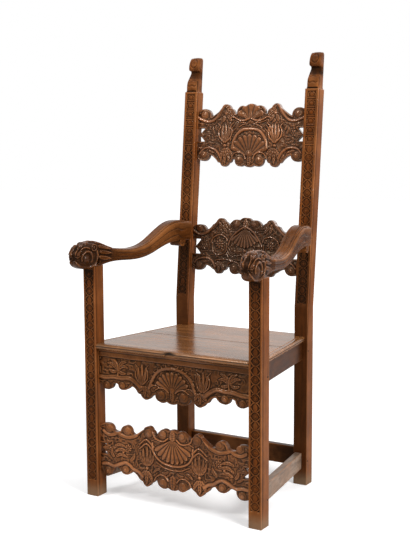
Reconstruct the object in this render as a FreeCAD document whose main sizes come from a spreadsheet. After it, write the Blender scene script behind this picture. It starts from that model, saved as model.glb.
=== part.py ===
import FreeCAD, Part
import math
import os
import re

# A joined armchair with a plank seat and carved boards between square posts.
# X runs to the right as seen from in front, Y to the back, Z up from the floor, in millimetres.
# Only the right-hand side of each pair is drawn; its partner is a mirror image.
# Places are reckoned from the front faces of the front posts, and "middle" takes them to the
# origin, which is under the middle of the whole chair.

SIZES = {
    # Plan and height of the frame
    "front_width": 587,
    "rear_width": 466,
    "frame_depth": 402,
    "seat_height": 460,
    "post_width": 40,
    "post_depth": 44,
    "post_height": 686,
    "stile_width": 44,
    "stile_depth": 40,
    "kink_height": 545,
    "rake_angle": 5.5,
    "stile_rise": 655,
    # Finial on top of each rear stile
    "finial_height": 111,
    "finial_inset": 3,
    "finial_neck_set_back": 26,
    "finial_bulge_height": 32,
    "finial_neck_height": 34,
    "finial_scroll_set_back": 9,
    "finial_top_round": 15,
    "finial_back_round": 7,
    # Boards
    "board_thickness": 19,
    "board_set_back": 12,
    "ground_depth": 5,
    "crest_height": 195,
    "crest_set_down": 40,
    "lower_splat_height": 179,
    "lower_splat_rise": 85,
    "apron_height": 137,
    "front_stretcher_height": 180,
    "front_stretcher_bottom": 53,
    # Rails and stretchers
    "rail_thickness": 22,
    "rail_inset": 16,
    "side_rail_height": 56,
    "side_stretcher_height": 49,
    "side_stretcher_bottom": 51,
    "rear_rail_height": 60,
    "rear_rail_thickness": 22,
    "rear_stretcher_height": 58,
    "rear_stretcher_bottom": 52,
    # Seat
    "seat_thickness": 16,
    "seat_joint": 228,
    "moulding_width": 17,
    "moulding_inset": 8,
    "front_moulding_width": 14,
    "finger_notch_radius": 20,
    "finger_notch_drop": 2,
    "finger_notch_depth": 8,
    "glue_block_length": 60,
    "glue_block_side": 20,
    # Arms
    "arm_reach": 66,
    "arm_width": 58,
    "arm_height": 109,
    "arm_ear_radius": 13,
    "arm_ear_width": 46,
    "arm_ear_rise": 41,
    "arm_ear_set_forward": 14,
    # Joints
    "tenon_thickness": 9,
    "tenon_length": 22,
    "tenon_root": 8,
    "side_tenon_length": 15,
    "arm_tenon_side": 20,
    "arm_tenon_height": 26,
    "arm_tenon_length": 15,
    "arm_tenon_rise": 30,
    "peg_diameter": 6,
    "peg_length": 27.5,
    "side_peg_length": 36,
    "rear_peg_length": 22,
    "arm_rear_peg_length": 28,
    "fit_clearance": 0.2,
    "overrun": 60,
}

# Carved outlines, as shares of a board's half span and of its height. Each list is a chain
# of arcs: the ends of the arcs take turns with a point half way along each arc.
crest_top_shares = (
    (0.000, 1.000), (0.063, 0.987), (0.101, 0.954), (0.175, 0.972), (0.233, 0.938),
    (0.257, 0.902), (0.259, 0.851), (0.280, 0.840), (0.302, 0.856), (0.328, 0.907),
    (0.381, 0.930), (0.407, 0.977), (0.476, 1.000), (0.519, 0.979), (0.534, 0.946),
    (0.630, 0.866), (0.751, 0.799), (0.778, 0.892), (0.868, 0.930), (0.942, 0.918),
    (1.000, 0.876),
)
crest_bottom_shares = (
    (1.000, 0.160), (0.942, 0.108), (0.868, 0.093), (0.788, 0.124), (0.757, 0.196),
    (0.667, 0.155), (0.598, 0.088), (0.577, 0.070), (0.545, 0.072), (0.519, 0.026),
    (0.466, 0.005), (0.418, 0.023), (0.386, 0.064), (0.349, 0.077), (0.328, 0.113),
    (0.296, 0.129), (0.265, 0.108), (0.243, 0.046), (0.185, 0.013), (0.138, 0.013),
    (0.095, 0.036), (0.048, 0.008), (0.000, 0.000),
)
lower_top_shares = (
    (0.000, 1.000), (0.069, 0.989), (0.111, 0.949), (0.185, 0.963), (0.259, 0.927),
    (0.291, 0.888), (0.299, 0.837), (0.323, 0.876), (0.354, 0.904), (0.370, 0.914),
    (0.386, 0.921), (0.418, 0.961), (0.466, 0.978), (0.519, 0.955), (0.550, 0.904),
    (0.587, 0.876), (0.624, 0.865), (0.683, 0.792), (0.746, 0.758), (0.778, 0.820),
    (0.862, 0.854), (0.937, 0.843), (1.000, 0.803),
)
lower_bottom_shares = (
    (1.000, 0.096), (0.942, 0.056), (0.868, 0.042), (0.783, 0.076), (0.746, 0.146),
    (0.667, 0.124), (0.603, 0.081), (0.571, 0.067), (0.545, 0.037), (0.519, 0.008),
    (0.471, 0.000), (0.429, 0.017), (0.407, 0.056), (0.370, 0.065), (0.339, 0.090),
    (0.312, 0.124), (0.275, 0.129), (0.254, 0.051), (0.196, 0.011), (0.148, 0.011),
    (0.101, 0.042), (0.048, 0.011), (0.000, 0.000),
)
apron_bottom_shares = (
    (1.000, 0.248), (0.980, 0.241), (0.965, 0.219), (0.937, 0.157), (0.890, 0.131),
    (0.831, 0.164), (0.805, 0.255), (0.772, 0.285), (0.736, 0.263), (0.720, 0.190),
    (0.669, 0.161), (0.610, 0.186), (0.563, 0.270), (0.512, 0.241), (0.476, 0.175),
    (0.457, 0.131), (0.429, 0.120), (0.402, 0.055), (0.358, 0.018), (0.323, 0.033),
    (0.295, 0.073), (0.264, 0.124), (0.226, 0.168), (0.217, 0.080), (0.173, 0.026),
    (0.122, 0.004), (0.075, 0.044), (0.039, 0.007), (0.000, 0.000),
)
stretcher_top_shares = (
    (0.000, 1.000), (0.035, 0.992), (0.063, 0.969), (0.118, 0.994), (0.169, 0.953),
    (0.197, 0.919), (0.213, 0.869), (0.224, 0.861), (0.236, 0.875), (0.248, 0.914),
    (0.272, 0.942), (0.291, 0.983), (0.331, 0.997), (0.362, 0.981), (0.382, 0.944),
    (0.433, 0.891), (0.488, 0.841), (0.524, 0.822), (0.559, 0.852), (0.579, 0.919),
    (0.626, 0.953), (0.681, 0.925), (0.709, 0.850), (0.760, 0.827), (0.813, 0.844),
    (0.831, 0.908), (0.886, 0.942), (0.949, 0.936), (1.000, 0.903),
)
stretcher_bottom_shares = (
    (1.000, 0.134), (0.957, 0.095), (0.902, 0.078), (0.839, 0.111), (0.815, 0.203),
    (0.772, 0.226), (0.724, 0.209), (0.693, 0.156), (0.642, 0.136), (0.587, 0.159),
    (0.557, 0.209), (0.508, 0.184), (0.472, 0.134), (0.445, 0.095), (0.409, 0.075),
    (0.386, 0.025), (0.350, 0.000), (0.323, 0.019), (0.303, 0.056), (0.268, 0.086),
    (0.220, 0.153), (0.203, 0.089), (0.165, 0.045), (0.110, 0.022), (0.067, 0.047),
    (0.035, 0.022), (0.000, 0.017),
)

# The pierced ends: upper corner, tip and lower corner of the tab that points at the post.
crest_tab_shares = ((0.852, 0.619), (0.958, 0.513), (0.852, 0.407))
lower_tab_shares = ((0.836, 0.593), (0.942, 0.460), (0.836, 0.334))
stretcher_tab_shares = ((0.909, 0.604), (0.969, 0.526), (0.886, 0.426))

# The ground sunk between a board's rim and its ornament: the right half of its edge, from the
# top middle round to the bottom middle.
crest_ground_shares = (
    (0.000, 0.940), (0.190, 0.910), (0.220, 0.820), (0.300, 0.790), (0.370, 0.880), (0.480, 0.940),
    (0.570, 0.850), (0.730, 0.735), (0.960, 0.730), (0.960, 0.660), (0.810, 0.660), (0.740, 0.570),
    (0.740, 0.460), (0.810, 0.370), (0.960, 0.370), (0.960, 0.270), (0.770, 0.260), (0.650, 0.220),
    (0.550, 0.120), (0.470, 0.050), (0.380, 0.120), (0.300, 0.180), (0.290, 0.205), (0.110, 0.205),
    (0.065, 0.140), (0.050, 0.060), (0.000, 0.060),
)
lower_ground_shares = (
    (0.000, 0.880), (0.065, 0.870), (0.085, 0.790), (0.255, 0.790), (0.320, 0.810), (0.390, 0.850),
    (0.485, 0.915), (0.570, 0.830), (0.690, 0.715), (0.960, 0.690), (0.960, 0.630), (0.800, 0.630),
    (0.740, 0.550), (0.740, 0.370), (0.800, 0.300), (0.960, 0.300), (0.960, 0.245), (0.760, 0.245),
    (0.645, 0.200), (0.550, 0.110), (0.476, 0.045), (0.400, 0.110), (0.320, 0.180), (0.295, 0.225),
    (0.095, 0.225), (0.075, 0.080), (0.000, 0.055),
)
apron_ground_shares = (
    (0.000, 0.820), (0.970, 0.820), (0.970, 0.410), (0.810, 0.410), (0.735, 0.380), (0.575, 0.395),
    (0.505, 0.350), (0.440, 0.260), (0.363, 0.120), (0.285, 0.250), (0.220, 0.310), (0.070, 0.310),
    (0.047, 0.120), (0.000, 0.090),
)
stretcher_ground_shares = (
    (0.000, 0.880), (0.055, 0.880), (0.090, 0.820), (0.200, 0.810), (0.245, 0.780), (0.400, 0.780),
    (0.420, 0.755), (0.950, 0.755), (0.950, 0.660), (0.870, 0.630), (0.840, 0.540), (0.850, 0.390),
    (0.950, 0.360), (0.950, 0.280), (0.810, 0.280), (0.770, 0.310), (0.590, 0.320), (0.540, 0.270),
    (0.465, 0.210), (0.390, 0.120), (0.350, 0.060), (0.285, 0.130), (0.220, 0.235), (0.060, 0.240),
    (0.045, 0.090), (0.000, 0.080),
)

# The shell on each ground, as shares of the height: its hinge, and where its ribs begin and end.
crest_shell_shares = (0.170, 0.060, 0.320)
lower_shell_shares = (0.850, 0.070, 0.290)
apron_shell_shares = (0.260, 0.100, 0.420)
stretcher_shell_shares = (0.870, 0.080, 0.345)
rib_width_share = 0.8

# The arch round a shell: half width and level of its feet, and the level of its crown, first
# along its outer edge and then along its inner one.
crest_arch_shares = ((0.370, 0.290, 0.710), (0.320, 0.290, 0.660))
apron_arch_shares = ((0.290, 0.440, 0.790), (0.260, 0.440, 0.737))
stretcher_arch_shares = ((0.270, 0.730, 0.400), (0.237, 0.730, 0.445))

# Leaves from tip to tip, with their width as a share of the height.
crest_leaf_shares = (
    ((0.460, 0.400), (0.460, 0.710), 0.060), ((0.420, 0.430), (0.360, 0.680), 0.055),
    ((0.500, 0.430), (0.580, 0.680), 0.055), ((0.000, 0.750), (0.000, 0.920), 0.090),
    ((0.080, 0.750), (0.160, 0.890), 0.060), ((0.640, 0.530), (0.670, 0.700), 0.045),
    ((0.610, 0.460), (0.700, 0.400), 0.040), ((0.460, 0.290), (0.460, 0.090), 0.070),
    ((0.420, 0.280), (0.370, 0.180), 0.040), ((0.500, 0.280), (0.550, 0.190), 0.040),
)
lower_leaf_shares = (
    ((0.180, 0.750), (0.340, 0.480), 0.040), ((0.590, 0.370), (0.635, 0.630), 0.045),
    ((0.070, 0.365), (0.300, 0.335), 0.050), ((0.330, 0.290), (0.560, 0.280), 0.050),
    ((0.476, 0.225), (0.476, 0.080), 0.065), ((0.430, 0.780), (0.360, 0.690), 0.050),
    ((0.525, 0.780), (0.610, 0.690), 0.050),
)
apron_leaf_shares = (
    ((0.400, 0.365), (0.400, 0.775), 0.088), ((0.365, 0.390), (0.335, 0.720), 0.066),
    ((0.435, 0.390), (0.465, 0.720), 0.066), ((0.690, 0.660), (0.575, 0.730), 0.085),
    ((0.775, 0.660), (0.890, 0.720), 0.085), ((0.700, 0.550), (0.590, 0.490), 0.080),
    ((0.765, 0.550), (0.875, 0.500), 0.080), ((0.733, 0.700), (0.750, 0.800), 0.050),
)
stretcher_leaf_shares = (
    ((0.347, 0.345), (0.347, 0.700), 0.067), ((0.308, 0.370), (0.276, 0.655), 0.050),
    ((0.387, 0.370), (0.418, 0.655), 0.050), ((0.790, 0.410), (0.590, 0.420), 0.065),
    ((0.800, 0.520), (0.585, 0.530), 0.065), ((0.790, 0.625), (0.615, 0.635), 0.060),
    ((0.480, 0.430), (0.490, 0.670), 0.055),
)

# The half span and the height that the ornament of each board is drawn on, as parts of one
# another: on a narrower board its ribs, leaves and bosses are narrower too.
crest_drawn_shares = (63, 65)
lower_drawn_shares = (189, 179)
apron_drawn_shares = (507, 274)
stretcher_drawn_shares = (169, 120)

# Round bosses, with their radius as a share of the height.
crest_boss_shares = ((0.460, 0.340, 0.030), (0.455, 0.850, 0.036))
lower_boss_shares = ((0.476, 0.525, 0.084), (0.000, 0.400, 0.045), (0.476, 0.825, 0.034))
apron_boss_shares = ((0.733, 0.610, 0.058),)
stretcher_boss_shares = ((0.347, 0.280, 0.033),)

# Lower and upper edge of each tenon, as shares of the board's height.
crest_tenon_shares = ((0.190, 0.380), (0.650, 0.840))
lower_tenon_shares = ((0.130, 0.310), (0.620, 0.770))
stretcher_tenon_shares = ((0.165, 0.400), (0.630, 0.870))
apron_tenon_shares = ((0.330, 0.560), (0.680, 0.900))

# The arm: station along it, underside, top, half width and roundness of its corners.
arm_section_shares = (
    (0.000, 0.180, 0.300, 0.400, 0.900), (0.014, 0.070, 0.440, 0.660, 0.800),
    (0.045, -0.015, 0.580, 0.850, 0.700), (0.098, -0.060, 0.660, 0.960, 0.650),
    (0.158, -0.050, 0.680, 1.000, 0.600), (0.226, 0.000, 0.600, 0.960, 0.550),
    (0.300, 0.055, 0.480, 0.830, 0.500), (0.400, 0.064, 0.385, 0.770, 0.450),
    (0.526, 0.046, 0.358, 0.760, 0.450), (0.657, 0.120, 0.500, 0.780, 0.450),
    (0.783, 0.300, 0.800, 0.800, 0.450), (0.889, 0.400, 0.985, 0.820, 0.450),
    (0.996, 0.400, 1.000, 0.820, 0.450), (1.110, 0.390, 0.990, 0.820, 0.450),
)

doc = FreeCAD.newDocument("JoinedArmchair")
sheet = doc.addObject("Spreadsheet::Sheet", "Sizes")
for row, (alias, number) in enumerate(SIZES.items(), start=1):
    sheet.set(f"A{row}", alias)
    sheet.set(f"B{row}", str(number))
    sheet.setAlias(f"B{row}", alias)
doc.recompute()


def bound(text):
    """Put the sheet's name before each of its aliases in an expression."""
    return re.sub(r"[a-z_]+", lambda word: f"Sizes.{word[0]}" if word[0] in SIZES else word[0], text)


def size(text):
    """The number that an expression of named sizes gives now."""
    value = sheet.evalExpression(bound(text))
    return float(getattr(value, "Value", value))


def bind(feature, **expressions):
    """Tie properties to expressions; two underscores stand for the dot of a sub-property."""
    for name, text in expressions.items():
        feature.setExpression(name.replace("__", "."), bound(text))


side_angle = "atan((front_width - rear_width) / 2 / frame_depth)"
nose_half_width_share = arm_section_shares[0][3]
front_extent = (f"arm_reach * cos({side_angle})"
                f" + (post_width + {nose_half_width_share} * arm_width) / 2 * sin({side_angle})")
rear_extent = ("frame_depth + stile_depth * cos(rake_angle)"
               " + (stile_rise + finial_height) * sin(rake_angle)")
middle = f"({rear_extent} - ({front_extent})) / 2"


class Upright:
    """The chair's own axes, from the front faces of the front posts and the floor."""

    axis = FreeCAD.Vector(0, 0, 1)
    angle = "0"

    def world(self, x, y, z):
        return x, f"{y} - {middle}", z


class Side(Upright):
    """Axes along the right-hand side: X out from the posts' outer faces, Y to the back."""

    angle = side_angle

    def world(self, x, y, z):
        return (
            f"front_width / 2 + ({x}) * cos({side_angle}) - ({y}) * sin({side_angle})",
            f"({x}) * sin({side_angle}) + ({y}) * cos({side_angle}) - {middle}",
            z,
        )


class Raked(Upright):
    """Axes of the leaning back: Y into the stiles from their front faces, Z up along them."""

    axis = FreeCAD.Vector(1, 0, 0)
    angle = "-rake_angle"

    def world(self, x, y, z):
        return (
            x,
            f"frame_depth + ({y}) * cos(rake_angle) + ({z}) * sin(rake_angle) - {middle}",
            f"kink_height - ({y}) * sin(rake_angle) + ({z}) * cos(rake_angle)",
        )


UPRIGHT, SIDE, RAKED = Upright(), Side(), Raked()


def place(feature, corner, axes=UPRIGHT):
    """Stand a feature's own origin on a corner given in one of the sets of axes."""
    feature.Placement = FreeCAD.Placement(FreeCAD.Vector(), FreeCAD.Rotation(axes.axis, 1))
    x, y, z = axes.world(*corner)
    bind(feature, Placement__Base__x=x, Placement__Base__y=y, Placement__Base__z=z)
    bind(feature, Placement__Rotation__Angle=axes.angle)
    return feature


def block(name, corner, extent, axes=UPRIGHT, grow="0"):
    """A rectangular block, grown all round where it cuts the room for another block."""
    feature = doc.addObject("Part::Box", name)
    length, width, height = (f"{side} + 2 * {grow}" for side in extent)
    bind(feature, Length=length, Width=width, Height=height)
    return place(feature, [f"{edge} - {grow}" for edge in corner], axes)


def fused(name, *features):
    feature = doc.addObject("Part::MultiFuse", name)
    feature.Shapes = list(features)
    feature.Refine = True
    return feature


def shared(name, *features):
    feature = doc.addObject("Part::MultiCommon", name)
    feature.Shapes = list(features)
    return feature


def cut(name, base, *tools):
    feature = doc.addObject("Part::Cut", name)
    feature.Base = base
    feature.Tool = tools[0] if len(tools) == 1 else fused(f"{name}_waste", *tools)
    feature.Refine = True
    return feature


def mirrored(name, source):
    """The left-hand partner of a right-hand feature."""
    feature = doc.addObject("Part::Mirroring", name)
    feature.Source = source
    feature.Normal = FreeCAD.Vector(1, 0, 0)
    return feature


def group(name, *features):
    """Separate solids that one node holds."""
    feature = doc.addObject("Part::Compound", name)
    feature.Links = list(features)
    return feature


def round_bar(name, radius, length, start, turn_axis, turn, axes=UPRIGHT):
    """A cylinder from a starting point, its axis turned down from Z and then into the axes."""
    feature = doc.addObject("Part::Cylinder", name)
    bind(feature, Radius=radius, Height=length)
    tilt = FreeCAD.Rotation(axes.axis, size(axes.angle)) * FreeCAD.Rotation(turn_axis, turn)
    feature.Placement = FreeCAD.Placement(FreeCAD.Vector(), tilt)
    x, y, z = axes.world(*start)
    bind(feature, Placement__Base__x=x, Placement__Base__y=y, Placement__Base__z=z)
    return feature


def profile_body(name, plane_role, edges, length, reverse=False, symmetric=False):
    """A closed outline on one of a body's own planes, padded to a bound length."""
    body = doc.addObject("PartDesign::Body", name)
    sketch = body.newObject("Sketcher::SketchObject", f"{name}_outline")
    plane = [feature for feature in body.Origin.OriginFeatures if feature.Role == plane_role][0]
    sketch.AttachmentSupport = (plane, [""])
    sketch.MapMode = "FlatFace"
    sketch.addGeometry(edges, False)
    pad = body.newObject("PartDesign::Pad", f"{name}_pad")
    pad.Profile = sketch
    pad.Reversed = reverse
    pad.SideType = "Symmetric" if symmetric else "One side"
    bind(pad, Length=length)
    body.Tip = pad
    return body


def line(start, end):
    return Part.LineSegment(FreeCAD.Vector(*start, 0), FreeCAD.Vector(*end, 0))


def arc(start, through, end):
    return Part.Arc(*(FreeCAD.Vector(*point, 0) for point in (start, through, end)))


def edge(points):
    return arc(*points) if len(points) == 3 else line(*points)


BACKWARD = (FreeCAD.Vector(1, 0, 0), -90)
INWARD = (FreeCAD.Vector(0, 1, 0), -90)


def pegged(name, start, direction, length="peg_length", axes=UPRIGHT):
    """A peg, and the hole for it that is one clearance larger all round."""
    x, y, z = start
    peg = round_bar(name, "peg_diameter / 2", length, start, *direction, axes)
    opening = (x, f"{y} - fit_clearance", z)
    if direction is INWARD:
        opening = (f"{x} + fit_clearance", y, z)
    hole = round_bar(f"{name}_hole", "peg_diameter / 2 + fit_clearance",
                     f"{length} + 2 * fit_clearance", opening, *direction, axes)
    return peg, hole


# Posts and stiles as blanks

inner_front = "(front_width / 2 - post_width)"
inner_rear = "(rear_width / 2 - stile_width)"

post_blank = fused(
    "front_post_blank",
    block("front_post_shaft", (inner_front, "0", "0"), ("post_width", "post_depth", "post_height")),
    block("front_post_tenon", ("front_width / 2 - (post_width + arm_tenon_side) / 2",
                               "(post_depth - arm_tenon_side) / 2", "post_height"),
          ("arm_tenon_side", "arm_tenon_side", "arm_tenon_height")),
)


def finial():
    """The carved top of a stile in side view: bulge, slanting neck and overhanging scroll."""
    depth = size("stile_depth")
    inset = size("finial_inset")
    neck = size("finial_neck_set_back")
    bulge_top = size("finial_bulge_height")
    neck_top = bulge_top + size("finial_neck_height")
    scroll = size("finial_scroll_set_back")
    top = size("finial_height")
    rounding = size("finial_top_round")
    back_round = size("finial_back_round")
    half_corner = 1 - math.sqrt(2) / 2
    edges = [
        arc((inset, 0), (0, bulge_top / 2), (inset, bulge_top)),
        line((inset, bulge_top), (neck, neck_top)),
        line((neck, neck_top), (scroll, neck_top)),
        arc((scroll, neck_top), (scroll, (neck_top + top) / 2), (scroll + rounding, top)),
        line((scroll + rounding, top), (depth - back_round, top)),
        arc((depth - back_round, top), (depth - back_round * half_corner, top - back_round * half_corner),
            (depth, top - back_round)),
        line((depth, top - back_round), (depth, 0)),
        line((depth, 0), (inset, 0)),
    ]
    return profile_body("finial", "YZ_Plane", edges, "stile_width - 2 * finial_inset", symmetric=True)


stile_blank = fused(
    "rear_stile_blank",
    block("rear_stile_leg", (inner_rear, "frame_depth", "0"),
          ("stile_width", "stile_depth", "kink_height")),
    block("rear_stile_shaft", (inner_rear, "0", "0"),
          ("stile_width", "stile_depth", "stile_rise"), RAKED),
    place(finial(), ("(rear_width - stile_width) / 2", "0", "stile_rise"), RAKED),
)

side_reach = f"(frame_depth + stile_depth) / cos({side_angle}) + 2 * overrun"


def bay_block(name, extra):
    """The space between a front post and a rear stile, made longer at both ends by an extra."""
    return block(name, ("0", f"post_depth - ({extra})", "0"),
                 ("front_width", f"frame_depth - post_depth + 2 * ({extra})", "post_height"))


def side_block(name, inset, thickness, bottom, height, grow="0"):
    """A long block on the slant of the chair's side, to be trimmed to its bay."""
    return block(name, (f"-({inset}) - ({thickness})", "-overrun", bottom),
                 (thickness, side_reach, height), SIDE, grow)


def side_member(name, bottom, height):
    """A rail between post and stile with a tenon at each end, and the room of its tenons."""
    shoulder = "(rail_thickness - tenon_thickness) / 2"
    tenon_bottom = f"{bottom} + tenon_root"
    tenon_height = f"{height} - 2 * tenon_root"
    body = shared(f"{name}_length",
                  side_block(f"{name}_stock", "rail_inset", "rail_thickness", bottom, height),
                  bay_block(f"{name}_bay", "0"))
    tongue = shared(f"{name}_tongue",
                    side_block(f"{name}_tongue_stock", f"rail_inset + {shoulder}", "tenon_thickness",
                               tenon_bottom, tenon_height),
                    bay_block(f"{name}_tongue_bay", "side_tenon_length"))
    mortise = shared(f"{name}_mortise",
                     side_block(f"{name}_mortise_stock", f"rail_inset + {shoulder}", "tenon_thickness",
                                tenon_bottom, tenon_height, "fit_clearance"),
                     bay_block(f"{name}_mortise_bay", "side_tenon_length + fit_clearance"))
    return fused(f"{name}_blank", body, tongue), mortise


seat_underside = "(seat_height - seat_thickness)"
side_rail_bottom = f"({seat_underside} - side_rail_height)"
side_rail_blank, side_rail_mortise = side_member("side_rail", side_rail_bottom, "side_rail_height")
side_stretcher_blank, side_stretcher_mortise = side_member(
    "side_stretcher", "side_stretcher_bottom", "side_stretcher_height")


def outline(half_span, height, top, tab, bottom):
    """The right half of a carved outline and its mirror image, as one ring of edges."""
    def point(shares):
        return shares[0] * half_span, shares[1] * height

    def chain(shares):
        points = [point(pair) for pair in shares]
        return [points[start:start + 3] for start in range(0, len(points) - 2, 2)]

    runs = chain(top) if top else [[(0, height), (half_span, height)]]
    end = [runs[-1][-1]]
    if tab:
        upper, tip, lower = (point(pair) for pair in tab)
        end += [(half_span, upper[1]), upper, tip, lower, (half_span, lower[1])]
    end.append(point(bottom[0]))
    runs += [list(pair) for pair in zip(end, end[1:])]
    runs += chain(bottom)
    ring = []
    for side in (1, -1):
        for run in runs:
            ring.append(edge([(side * x, y) for x, y in run]))
    return ring


def ring_of(points):
    """The pairs of points that straight edges join round a closed ring."""
    return list(zip(points, points[1:] + points[:1]))


def shell_ribs(centre, inner, outer, spread, count):
    """Wedges that fan out from a shell's hinge; a negative outer reach points them down."""
    step = 2 * spread / count
    runs = []
    for rib in range(count):
        turn = math.radians(-spread + (rib + 0.5) * step)
        half = math.radians(step) * rib_width_share / 2
        upwards = 1 if outer > 0 else -1
        tip, left, right = ((reach * math.sin(angle), centre + upwards * reach * math.cos(angle))
                            for reach, angle in ((inner, turn), (abs(outer), turn - half),
                                                 (abs(outer), turn + half)))
        crown_reach = abs(outer) + abs(outer) * half / 2
        crown = (crown_reach * math.sin(turn), centre + upwards * crown_reach * math.cos(turn))
        runs += [(tip, left), (left, crown, right), (right, tip)]
    return runs


def leaf(start, end, width):
    """Two arcs that bow out between the tips of a leaf."""
    middle_x, middle_y = (start[0] + end[0]) / 2, (start[1] + end[1]) / 2
    run = math.hypot(end[0] - start[0], end[1] - start[1])
    across = ((end[1] - start[1]) / run * width / 2, (start[0] - end[0]) / run * width / 2)
    return [(start, (middle_x + across[0], middle_y + across[1]), end),
            (end, (middle_x - across[0], middle_y - across[1]), start)]


def boss(centre, radius):
    x, y = centre
    return [((x - radius, y), (x, y + radius), (x + radius, y)),
            ((x + radius, y), (x, y - radius), (x - radius, y))]


def ground(name, half_span, height, carving):
    """What is cut away between a board's rim and its ornament."""
    (edge_shares, drawn_shares, shell_shares, spread, ribs, arch_shares, leaf_shares,
     boss_shares) = carving
    drawn_span = height * drawn_shares[0] / drawn_shares[1]
    right = [(x * drawn_span, y * height) for x, y in edge_shares]
    runs = ring_of(right + [(-x, y) for x, y in reversed(right[1:-1])])
    hinge, inner, outer = (share * height for share in shell_shares)
    runs += shell_ribs(hinge, inner, outer if hinge < height / 2 else -outer, spread, ribs)
    if arch_shares:
        (out_x, foot, out_crown), (in_x, _, in_crown) = (
            (x * drawn_span, low * height, high * height) for x, low, high in arch_shares)
        runs += [((-out_x, foot), (0, out_crown), (out_x, foot)), ((out_x, foot), (in_x, foot)),
                 ((in_x, foot), (0, in_crown), (-in_x, foot)), ((-in_x, foot), (-out_x, foot))]
    for start, end, width in leaf_shares:
        for side in ((1, -1) if start[0] else (1,)):
            runs += leaf((side * start[0] * drawn_span, start[1] * height),
                         (side * end[0] * drawn_span, end[1] * height), width * height)
    for x, y, radius in boss_shares:
        for side in ((1, -1) if x else (1,)):
            runs += boss((side * x * drawn_span, y * height), radius * height)
    edges = [edge([(x * half_span / drawn_span, y) for x, y in run]) for run in runs]
    return profile_body(f"{name}_ground", "XZ_Plane", edges, "overrun + ground_depth", reverse=True)


def board(name, half_span, height, rings, carving, tenon_shares, corner, axes=UPRIGHT):
    """A carved board with its tenons, and the right-hand mortises that take them."""
    top, tab, bottom = rings
    edges = outline(size(half_span), size(height), top, tab, bottom)
    face = profile_body(f"{name}_face", "XZ_Plane", edges, "board_thickness", reverse=True)
    place(face, corner, axes)
    waste = place(ground(name, size(half_span), size(height), carving),
                  (corner[0], f"{corner[1]} - overrun", corner[2]), axes)
    face = cut(f"{name}_carved", face, waste)
    tenons, mortises = [], []
    for count, (low_share, high_share) in enumerate(tenon_shares, start=1):
        low = f"{height} * {low_share}"
        tall = f"{height} * ({high_share} - {low_share})"
        start = (f"{half_span} - tenon_root", f"{corner[1]} + (board_thickness - tenon_thickness) / 2",
                 f"{corner[2]} + {low}")
        extent = ("tenon_root + tenon_length", "tenon_thickness", tall)
        tenons.append(block(f"{name}_tenon_{count}", start, extent, axes))
        mortises.append(block(f"{name}_mortise_{count}", start, extent, axes, "fit_clearance"))
    right = group(f"{name}_tenons_right", *tenons)
    blank = fused(f"{name}_blank", face, *tenons, mirrored(f"{name}_tenons_left", right))
    return blank, mortises


crest_rise = "(stile_rise - crest_set_down - crest_height)"
crest_blank, crest_mortises = board(
    "crest", inner_rear, "crest_height", (crest_top_shares, crest_tab_shares, crest_bottom_shares),
    (crest_ground_shares, crest_drawn_shares, crest_shell_shares, 60, 9, crest_arch_shares,
     crest_leaf_shares, crest_boss_shares), crest_tenon_shares, ("0", "board_set_back", crest_rise), RAKED)
lower_blank, lower_mortises = board(
    "lower_splat", inner_rear, "lower_splat_height",
    (lower_top_shares, lower_tab_shares, lower_bottom_shares),
    (lower_ground_shares, lower_drawn_shares, lower_shell_shares, 40, 7, (), lower_leaf_shares,
     lower_boss_shares), lower_tenon_shares, ("0", "board_set_back", "lower_splat_rise"), RAKED)
apron_blank, apron_mortises = board(
    "apron", inner_front, "apron_height", ((), (), apron_bottom_shares),
    (apron_ground_shares, apron_drawn_shares, apron_shell_shares, 56, 9, apron_arch_shares,
     apron_leaf_shares, apron_boss_shares), apron_tenon_shares, ("0", "board_set_back", f"{seat_underside} - apron_height"))
stretcher_blank, stretcher_mortises = board(
    "front_stretcher", inner_front, "front_stretcher_height",
    (stretcher_top_shares, stretcher_tab_shares, stretcher_bottom_shares),
    (stretcher_ground_shares, stretcher_drawn_shares, stretcher_shell_shares, 52, 9,
     stretcher_arch_shares, stretcher_leaf_shares, stretcher_boss_shares),
    stretcher_tenon_shares, ("0", "board_set_back", "front_stretcher_bottom"))


def rear_member(name, bottom, height):
    """A rail between the stiles, flush inside their rear faces, with its right-hand mortise."""
    front = "frame_depth + stile_depth - rear_rail_thickness - fit_clearance"
    tongue_front = f"{front} + (rear_rail_thickness - tenon_thickness) / 2"
    span = f"{inner_rear} + tenon_length"
    tongue = (f"-({span})", tongue_front, f"{bottom} + tenon_root")
    extent = (f"2 * ({span})", "tenon_thickness", f"{height} - 2 * tenon_root")
    stock = block(f"{name}_stock", (f"-{inner_rear}", front, bottom),
                  (f"2 * {inner_rear}", "rear_rail_thickness", height))
    blank = fused(f"{name}_blank", stock, block(f"{name}_tongue", tongue, extent))
    return blank, block(f"{name}_mortise", tongue, extent, grow="fit_clearance")


rear_rail_bottom = f"({seat_underside} - rear_rail_height)"
rear_rail_blank, rear_rail_mortise = rear_member("rear_rail", rear_rail_bottom, "rear_rail_height")
rear_stretcher_blank, rear_stretcher_mortise = rear_member(
    "rear_stretcher", "rear_stretcher_bottom", "rear_stretcher_height")


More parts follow.
